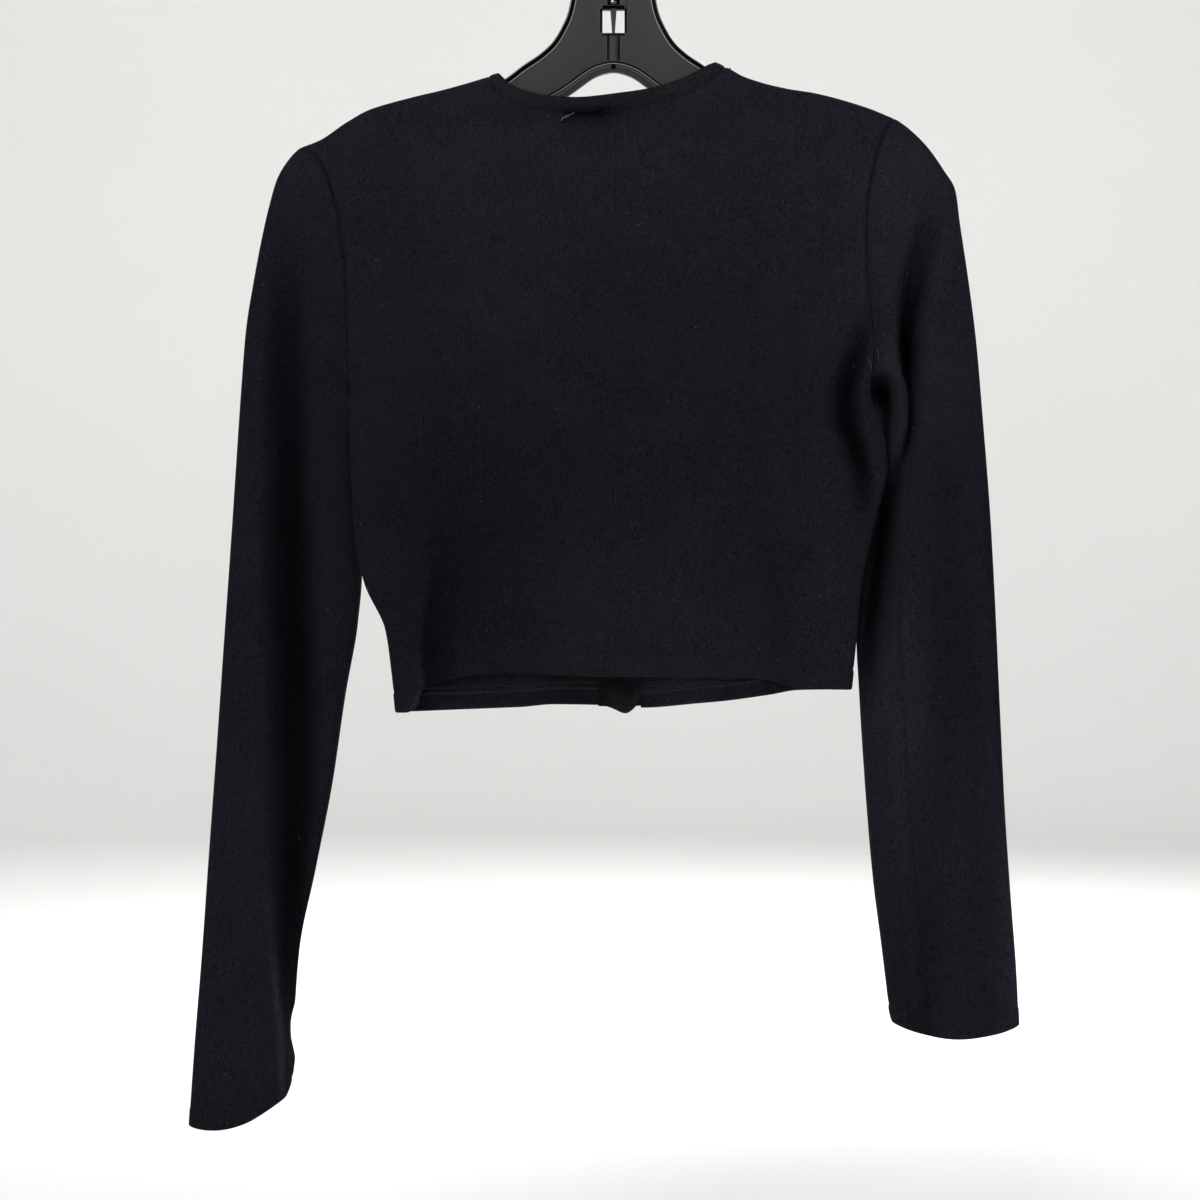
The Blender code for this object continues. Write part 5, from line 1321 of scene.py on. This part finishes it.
def add_thread_knot(number, drop):
    """The thread behind a button, on the inner face: crossing strands, each an arch carried
    from one side of the knot to the other."""
    draw = np.random.default_rng(50 + number)
    middle = sum(BUTTONHOLE_BAND_SPAN) / 2 - 4
    face = body_depth(np.array(middle), np.array(drop), 1) + BUTTON_BAND_OUT - BUTTON_BAND_CLOTH
    run = np.linspace(-1, 1, 11)
    strands = []
    for _ in range(9):
        wide, tall, tilt = draw.uniform(2.0, 6.5), draw.uniform(0.5, 1.6), draw.normal(0, 0.35)
        path = np.stack([middle + wide * run, face - tall * (1 - run ** 2) + 0.2,
                         -drop + draw.normal(0, 1.0) + tilt * wide * run], axis=-1)
        strands.append((carried(path, draw.uniform(0.22, 0.45), 6), tube_faces(11, 6)))
    return merged(f"thread_knot_{number}", strands, THREAD)


# Buttons

BUTTON_SIDES = 48
Turned = namedtuple("Turned", "radius height")
BUTTON_PROFILE = [Turned(0.0, 0.0), Turned(4.6, 0.0), Turned(5.2, 0.3), Turned(5.5, 0.9),
                  Turned(5.5, 1.7), Turned(5.3, 2.2), Turned(4.9, 2.45), Turned(4.4, 2.4),
                  Turned(3.9, 2.0), Turned(3.6, 1.75), Turned(3.0, 1.62), Turned(2.5, 1.6),
                  Turned(2.1, 1.6), Turned(1.7, 1.6), Turned(1.3, 1.6), Turned(0.9, 1.6),
                  Turned(0.5, 1.6), Turned(0.0, 1.6)]
HOLE_REACH, HOLE_RADIUS = 1.25, 0.55


def add_button(number, drop):
    """A turned button: a profile carried round an axis along Y, with a raised rim, a flat
    middle, and four pits where the thread goes through."""
    radius, height = columns(BUTTON_PROFILE)
    at = np.linspace(0, len(radius) - 1, 4 * len(radius))
    radius, height = (np.interp(at, np.arange(len(column)), column) for column in (radius, height))
    radius = np.maximum(radius, 0.01)
    turn = np.linspace(0, 2 * np.pi, BUTTON_SIDES, endpoint=False)
    x, z = radius[:, None] * np.cos(turn), radius[:, None] * np.sin(turn)
    pits = sum(bell(np.hypot(x - a, z - b), HOLE_RADIUS)
               for a in (-HOLE_REACH, HOLE_REACH) for b in (-HOLE_REACH, HOLE_REACH))
    top = (at > 8)[:, None]
    middle = sum(BUTTONHOLE_BAND_SPAN) / 2
    drop = np.array(drop)
    base = body_depth(np.array(middle), drop, 1) + BUTTONHOLE_BAND_OUT + SEAM_GAP + 0.1
    y = base + height[:, None] - 1.1 * pits * top
    points = np.stack([middle + x, y, -drop + z], axis=-1)
    button = add_piece(f"sewn_button_{number}", points, tube_faces(len(radius), BUTTON_SIDES), BUTTON,
                       [f"button_{number}"])
    strands = []
    for across in (-HOLE_REACH, HOLE_REACH):
        for beside in (-0.24, 0, 0.24):
            s = np.linspace(-1, 1, 9)
            path = np.stack([middle + across + beside + 0 * s, base + 1.85 - 0.75 * s ** 4,
                             -drop + HOLE_REACH * s], axis=-1)
            strands.append((carried(path, 0.16, 6), tube_faces(9, 6)))
    shank = np.stack([middle + 0 * s, base + np.linspace(-1.2, 0.4, 9), -drop + 0 * s], axis=-1)
    strands.append((carried(shank, 0.8, 8), tube_faces(9, 8)))
    merged(f"button_thread_{number}", strands, THREAD)
    return button


def add_buttonhole(number, drop):
    """A stitched slit: a cord carried round a long narrow loop on the band, its radius
    rising and falling with each stitch."""
    turn = np.linspace(0, 2 * np.pi, 180, endpoint=False)
    middle = sum(BUTTONHOLE_BAND_SPAN) / 2
    long, wide = 7.4, 1.0
    across = middle + wide * np.cos(turn)
    down = drop + np.sign(np.sin(turn)) * np.abs(np.sin(turn)) ** 0.35 * long
    y = body_depth(across, down, 1) + BUTTONHOLE_BAND_OUT + 0.1
    path = place(across, y, down)
    along = unit(np.roll(path, -1, axis=0) - np.roll(path, 1, axis=0))
    up = np.broadcast_to([0.0, 1.0, 0.0], path.shape)
    side = unit(np.cross(along, up))
    angle = np.linspace(0, 2 * np.pi, 8, endpoint=False)
    radius = 0.62 * (1 + 0.16 * np.sin(turn * 62))[:, None, None]
    points = path[:, None] + radius * (side[:, None] * np.cos(angle)[:, None]
                                       + 0.6 * up[:, None] * np.sin(angle)[:, None])
    ids = np.arange(180 * 8).reshape(180, 8)
    ids = np.vstack([ids, ids[:1]])
    return add_piece(f"buttonhole_{number}", points, quads(np.hstack([ids, ids[:, :1]])), THREAD)


# Hanger

def hanger_outline():
    """The upper and the lower edge of the whole hanger, from arm tip to arm tip, each as
    across and drop at even steps through the stations."""
    top, top_drop, low, low_drop = columns(HANGER_HALF)
    numbers = np.arange(len(top))
    at = np.linspace(0, numbers[-1], 6 * numbers[-1] + 1)
    top, top_drop, low, low_drop = (smooth_read(at, numbers, column)
                                    for column in (top, top_drop, low, low_drop))
    centre = np.linspace(-1, 1, 9)[1:-1]
    upper = np.column_stack([np.concatenate([-top[::-1], centre * top[0], top]),
                             np.concatenate([top_drop[::-1], top_drop[0] + 0 * centre, top_drop])])
    lower = np.column_stack([np.concatenate([-low[::-1], centre * low[0], low]),
                             np.concatenate([low_drop[::-1], low_drop[0] - 0.12 * (1 - centre ** 2),
                                             low_drop])])
    return upper, lower


def box_part(low, high):
    """Points and faces of a box between two corners in millimetres."""
    x, y, z = np.meshgrid(*zip(low, high), indexing="ij")
    points = np.stack([x, y, z], axis=-1).reshape(-1, 3)
    faces = np.array([(0, 1, 3, 2), (4, 6, 7, 5), (0, 4, 5, 1), (2, 3, 7, 6), (0, 2, 6, 4), (1, 5, 7, 3)])
    return points, faces


def add_tool(name, points, faces, material):
    """A hidden mesh for a Boolean, removed once the cut is applied."""
    mesh = bpy.data.meshes.new(name)
    mesh.from_pydata((np.asarray(points, float).reshape(-1, 3) * MM).tolist(), [], faces.tolist())
    mesh.materials.append(material)
    tool = bpy.data.objects.new(name, mesh)
    bpy.context.scene.collection.objects.link(tool)
    return tool


def worked(piece, steps):
    """The piece's mesh with each Boolean tool joined to it or cut out of it, applied. The new
    faces take the tool's material."""
    tools = []
    for number, (operation, points, faces, material) in enumerate(steps):
        tool = add_tool(f"tool_{number}", points, faces, material)
        recalculated(tool.data)
        modifier = piece.modifiers.new(tool.name, "BOOLEAN")
        modifier.operation, modifier.solver, modifier.object = operation, "EXACT", tool
        modifier.material_mode = "TRANSFER"
        tools.append(tool)
    bpy.context.view_layer.update()
    depsgraph = bpy.context.evaluated_depsgraph_get()
    mesh = bpy.data.meshes.new_from_object(piece.evaluated_get(depsgraph))
    piece.modifiers.clear()
    piece.data = mesh
    for tool in tools:
        bpy.data.objects.remove(tool)


def recalculated(mesh):
    """Turns a closed mesh's faces outwards."""
    import bmesh
    work = bmesh.new()
    work.from_mesh(mesh)
    bmesh.ops.recalc_face_normals(work, faces=work.faces)
    work.to_mesh(mesh)
    work.free()


def add_hanger_body():
    """The moulded body: a stepped section carried from arm tip to arm tip between the two
    edges, joined to its boss and ribs, and cut by its window, rivet seat and pin hole."""
    upper, lower = hanger_outline()
    gap = np.linalg.norm(upper - lower, axis=1)
    fit = np.minimum(1, gap / 14.5)[:, None]

    def moved_in(curve, way, distance):
        along = unit(np.gradient(curve, axis=0))
        return curve + way * distance * fit * np.column_stack([-along[:, 1], along[:, 0]])

    section = [(moved_in(upper, 1, step.inwards), step.half_depth) for step in UPPER_STEPS]
    section += [(moved_in(lower, -1, step.inwards), step.half_depth) for step in LOWER_STEPS[::-1]]
    near = [np.column_stack([curve[:, 0], np.full(len(curve), -deep), -curve[:, 1]])
            for curve, deep in section]
    far = [points * (1, -1, 1) for points in near[::-1]]
    rings = np.stack(near + far, axis=1)
    body = add_piece("hanger_moulding", rings, tube_faces(*rings.shape[:2]), HANGER,
                     ["hanger_body"])
    around = rings.shape[1]
    # The rims' faces get the painted highlight material, and the faces deep in the grooves the painted
    # shade material
    for material, columns in ((HANGER_PAINTED_HIGHLIGHT, HIGHLIGHT_FACES), (HANGER_PAINTED_SHADE, GROOVE_FACES)):
        both = list(columns) + [around - 2 - column for column in columns]
        add_faces_material(body, material, both, around)
    turn = np.linspace(0, 2 * np.pi, 24, endpoint=False)

    def rod(radius, x, y, z, half):
        """An upright or crossways rod between two of its ends."""
        ends = np.array([-1.0, 1.0])[:, None]
        if half[2]:
            rings = np.stack([x + radius * np.cos(turn) + 0 * ends, y + radius * np.sin(turn) + 0 * ends,
                              z + half[2] * ends + 0 * turn], axis=-1)
        else:
            rings = np.stack([x + radius * np.cos(turn) + 0 * ends, y + half[1] * ends + 0 * turn,
                              z + radius * np.sin(turn) + 0 * ends], axis=-1)
        return rings, tube_faces(2, 24)

    rib_middle, rib_half = -(WINDOW_LOW + RIB_LOW) / 2, (RIB_LOW - WINDOW_LOW) / 2
    rib, rib_faces = rod(1.0, 0, 0, rib_middle, (0, 0, rib_half))
    rib[..., :2] = np.sign(rib[..., :2]) * np.abs(rib[..., :2]) ** 0.55 * (RIB_HALF, RIB_DEEP)
    wedge, wedge_faces = box_part((-2.0, -1.0, -WINDOW_LOW - 0.5), (2.0, 2.4, -WINDOW_TOP + 0.5))
    wedge[wedge[:, 2] < -WINDOW_TOP - 5, 0] *= 0.42
    wide, frame_wide = WINDOW_HALF, 1.5
    # The faces cut for the rib's grooves, the window's frame and sills, the rivet seat, the bore and the
    # pin hole take the painted shade material
    steps = [
        ("UNION", *box_part((-BOSS_HALF, -3.5, -WINDOW_TOP), (BOSS_HALF, 3.5, -BOSS_TOP)), HANGER),
        ("DIFFERENCE", *box_part((-RIB_HALF - GROOVE, -9, 1 - RIB_LOW),
                                 (RIB_HALF + GROOVE, -0.6, -WINDOW_LOW)), HANGER_PAINTED_SHADE),
        ("UNION", rib, rib_faces, HANGER),
        ("DIFFERENCE", *box_part((-wide - frame_wide, -9, -WINDOW_LOW),
                                 (wide + frame_wide, -0.8, -WINDOW_TOP)), HANGER_PAINTED_SHADE),
        ("DIFFERENCE", *box_part((-wide, -9, -WINDOW_LOW), (wide, 9, -WINDOW_TOP)), HANGER),
        ("DIFFERENCE", *box_part((-wide, -9, -WINDOW_TOP - 0.1), (wide, -0.4, -SILL_TOP)), HANGER_PAINTED_SHADE),
        ("DIFFERENCE", *box_part((-wide, -9, -SILL_LOW), (wide, -0.4, 0.1 - WINDOW_LOW)), HANGER_PAINTED_SHADE),
        ("DIFFERENCE", *box_part((-RIVET_HALF, -9, 0.3 - SILL_TOP), (RIVET_HALF, SEAT_BACK, -RIVET_TOP)),
         HANGER_PAINTED_SHADE),
        ("DIFFERENCE", *rod(BORE_RADIUS, 0, 0, -82, (0, 0, 14)), HANGER_PAINTED_SHADE),
        ("DIFFERENCE", *rod(PIN_RADIUS, 0, -4.0, -PIN_DROP, (0, 4.6, 0)), HANGER_PAINTED_SHADE),
        ("UNION", wedge, wedge_faces, HANGER),
    ]
    worked(body, steps)
    body.data.shade_smooth()
    body.data.set_sharp_from_angle(angle=np.radians(32))
    return body


def add_hook():
    """Steel wire: a riveted foot, a straight stem, a bend and a round hook."""
    stem_x, stem_drop, stem_radius = columns(HOOK_STEM)
    turn = np.radians(np.linspace(-38, 212, 90))
    centre = WIRE_RADIUS - HOOK_RADIUS
    x = np.concatenate([stem_x, HOOK_RADIUS * np.cos(turn)])
    z = np.concatenate([-stem_drop, centre + HOOK_RADIUS * np.sin(turn)])
    radius = np.concatenate([stem_radius, np.full(len(turn), WIRE_RADIUS)])
    radius[-3:] = WIRE_RADIUS * np.array([0.97, 0.8, 0.45])
    path = np.stack([x, 0 * x, z], axis=-1)
    rings = carried(path, radius, 20, np.where(radius > WIRE_RADIUS + 0.1, 0.6, 1.0))
    hook = add_piece("hanger_wire", rings, tube_faces(len(path), 20), STEEL, ["hanger_hook"])
    hook.data.set_sharp_from_angle(angle=np.radians(50))
    return hook


# The set: a pale floor that sweeps up far away, soft lights and the camera

VIEW_CENTRE = np.array([-8.6, 0.0, -477.0]) * MM
VIEW_DISTANCE, VIEW_HEIGHT = 1.6, 0.764
FLOOR_DROP = 1.05


def add_floor():
    """A wide disc that curves up into a low wall, turned round a vertical axis."""
    bend = np.radians(np.linspace(0, 90, 17))
    radius = np.concatenate([[0.001, 1, 2.5, 4.2], 4.6 + 1.4 * np.sin(bend), [6.0]])
    height = np.concatenate([[0, 0, 0, 0], 1.4 * (1 - np.cos(bend)), [4.4]]) - FLOOR_DROP
    turn = np.linspace(0, 2 * np.pi, 96, endpoint=False)
    points = np.stack([radius[:, None] * np.cos(turn), radius[:, None] * np.sin(turn),
                       height[:, None] + 0 * turn], axis=-1)
    ids = np.arange(points.shape[0] * 96).reshape(-1, 96)
    mesh = bpy.data.meshes.new("pale_floor")
    mesh.from_pydata(points.reshape(-1, 3).tolist(), [],
                     quads(np.hstack([ids, ids[:, :1]]))[:, ::-1].tolist())
    mesh.materials.append(floor_material())
    mesh.shade_smooth()
    floor = bpy.data.objects.new("pale_floor", mesh)
    bpy.context.scene.collection.objects.link(floor)
    return floor


def add_light(name, position, aim, size, power, colour=(1, 1, 1)):
    """A square area light, turned to face a point."""
    data = bpy.data.lights.new(name, "AREA")
    data.size, data.energy, data.color = size, power, colour
    light = bpy.data.objects.new(name, data)
    bpy.context.scene.collection.objects.link(light)
    light.location = position
    from mathutils import Vector
    light.rotation_euler = (Vector(aim) - Vector(position)).to_track_quat("-Z", "Y").to_euler()
    return light


def add_set():
    add_floor()
    world = bpy.data.worlds.new("soft_room")
    world.use_nodes = True
    background = world.node_tree.nodes["Background"]
    background.inputs["Color"].default_value = (0.93, 0.95, 1.0, 1)
    background.inputs["Strength"].default_value = 0.26
    bpy.context.scene.world = world
    middle = (0, 0, -0.45)
    add_light("upper_key", (-0.75, -2.5, 1.5), middle, 1.0, 88)
    add_light("far_key", (1.0, 2.6, 1.3), middle, 1.3, 66)
    add_light("far_wall_wash", (0, 1.6, 1.6), (0, 5.6, -0.2), 2.4, 95)
    add_light("near_wall_wash", (0, -3.0, 1.6), (0, -6.6, -0.2), 2.4, 95)
    data = bpy.data.cameras.new("camera")
    data.angle = 2 * np.arctan(VIEW_HEIGHT / 2 / VIEW_DISTANCE)
    camera = bpy.data.objects.new("camera", data)
    bpy.context.scene.collection.objects.link(camera)
    camera.location = VIEW_CENTRE - (0, VIEW_DISTANCE, 0)
    camera.rotation_euler = (np.pi / 2, 0, 0)
    bpy.context.scene.camera = camera
    settings = bpy.context.scene.view_settings
    settings.view_transform, settings.look, settings.exposure = "Standard", "None", 0.0


# What shows of each cloth piece's cut: its width, length and flat area in metres, and what
# holds it up. A strip's area is its width times its length.
# Each cloth piece laid flat, in metres and square metres, and what it hangs from
Cut = namedtuple("Cut", "name width length area hangs_from")


# Rows of stitching: how far above a hem or beside a band's edge each one runs
BACK_HEM_ROWS, BACK_HEM_BAR_ROW = (10.8, 17.2), (14.4,)
HEM_ROWS, PLACKET_ROWS = (10.8, 14.3), (2.6, 23.2)
FLAP_FOLD_EDGE = -99        # the back hem's stitching left of here is in the deep fold


def main():
    add_set()
    across, drop, (outer, inner, normals) = add_back()
    caught = [(outer, normals, 60)]
    clear = across[-1] > FLAP_FOLD_EDGE
    hem = outer[:, clear], normals[:, clear], (drop[-1] - drop)[:, clear]
    hem_stitches("back_hem_stitches", *hem, BACK_HEM_ROWS, 0.0, THREAD)
    hem_stitches("back_hem_bars", *hem, BACK_HEM_BAR_ROW, 0.02, THREAD, length=3.4, gap=-1.7, wide=0.3,
                 high=0.22, lean=90)
    for name, shoulder, point, hem, side_edge, neck_edge, solid in (
            ("front_left_cloth", RIDGE[0], NECK_POINT_LEFT, FRONT_HEM[0], left_edge,
             LEFT_NECK_EDGE, "front_left"),
            ("front_right_cloth", RIDGE[-1], NECK_POINT_RIGHT, FRONT_HEM[-1], right_edge,
             RIGHT_NECK_EDGE, "front_right")):
        across, drop, (outer, inner, normals) = add_front(name, shoulder, point, hem, side_edge,
                                                          neck_edge, [solid])
        above = drop[-1] - drop
        hem_stitches(f"{solid}_hem_stitches", outer, normals, above, HEM_ROWS, 0.0, THREAD)
        hem_stitches(f"{solid}_inner_hem", inner, -normals, above, HEM_ROWS, 0.12,
                     INNER_THREAD, length=2.4, gap=-0.5, wide=0.7, high=0.3, lean=9)
    add_neckband()
    add_front_band("button_band_cloth", BUTTON_BAND_SPAN, BUTTON_BAND_LOW, BUTTON_BAND_OUT,
                   BUTTON_BAND_CLOTH, ["button_band"])
    across, drop, outer, inner, normals = add_front_band(
        "buttonhole_band_cloth", BUTTONHOLE_BAND_SPAN, BUTTONHOLE_BAND_LOW, BUTTONHOLE_BAND_OUT,
        BAND_CLOTH, ["buttonhole_band"])
    for number, wanted in enumerate(PLACKET_ROWS):
        column = np.argmin(np.abs(across[0] - BUTTONHOLE_BAND_SPAN[0] - wanted))
        rows = slice(4, -4)
        add_stitches(f"placket_stitches_{number + 1}", outer[rows, column] + normals[rows, column] * 0.1,
                     normals[rows, column], THREAD, "knit_band")
    for name, rings, folds, far, highlight_folds, edge, cuff_edge, seed, solid in (
            ("sleeve_left_cloth", LEFT_SLEEVE, LEFT_SLEEVE_FOLDS, LEFT_SLEEVE_FAR_FOLDS,
             LEFT_SLEEVE_PAINTED_HIGHLIGHTS, left_edge, LEFT_CUFF_EDGE, 21, "sleeve_left"),
            ("sleeve_right_cloth", RIGHT_SLEEVE, RIGHT_SLEEVE_FOLDS, RIGHT_SLEEVE_FAR_FOLDS,
             RIGHT_SLEEVE_PAINTED_HIGHLIGHTS, right_edge, RIGHT_CUFF_EDGE, 34, "sleeve_right")):
        outer, inner, normals, from_cuff = add_sleeve(name, rings, folds, far, highlight_folds, edge, cuff_edge,
                                                      seed, [solid])
        caught.append((outer[:, :70], normals[:, :70], 18))
        closed = [np.concatenate([grid, grid[:, :1]], axis=1) for grid in (outer, normals, from_cuff)]
        hem_stitches(f"{solid}_cuff_stitches", *closed, HEM_ROWS, 0.0, THREAD)
    add_inner_stitches("band_foot_stitches", FOOT_STITCHES, BUTTON_BAND_OUT - BUTTON_BAND_CLOTH - 0.15,
                       INNER_THREAD, length=1.7, gap=0.35, wide=0.36)
    for number, drop in enumerate(BUTTON_DROPS):
        add_button(number + 1, drop)
        add_buttonhole(number + 1, drop)
        add_thread_knot(number + 1, drop)
    add_fibres("lint_fibres", caught, 12)
    add_loose_threads()
    add_hanger_body()
    add_hook()


main()
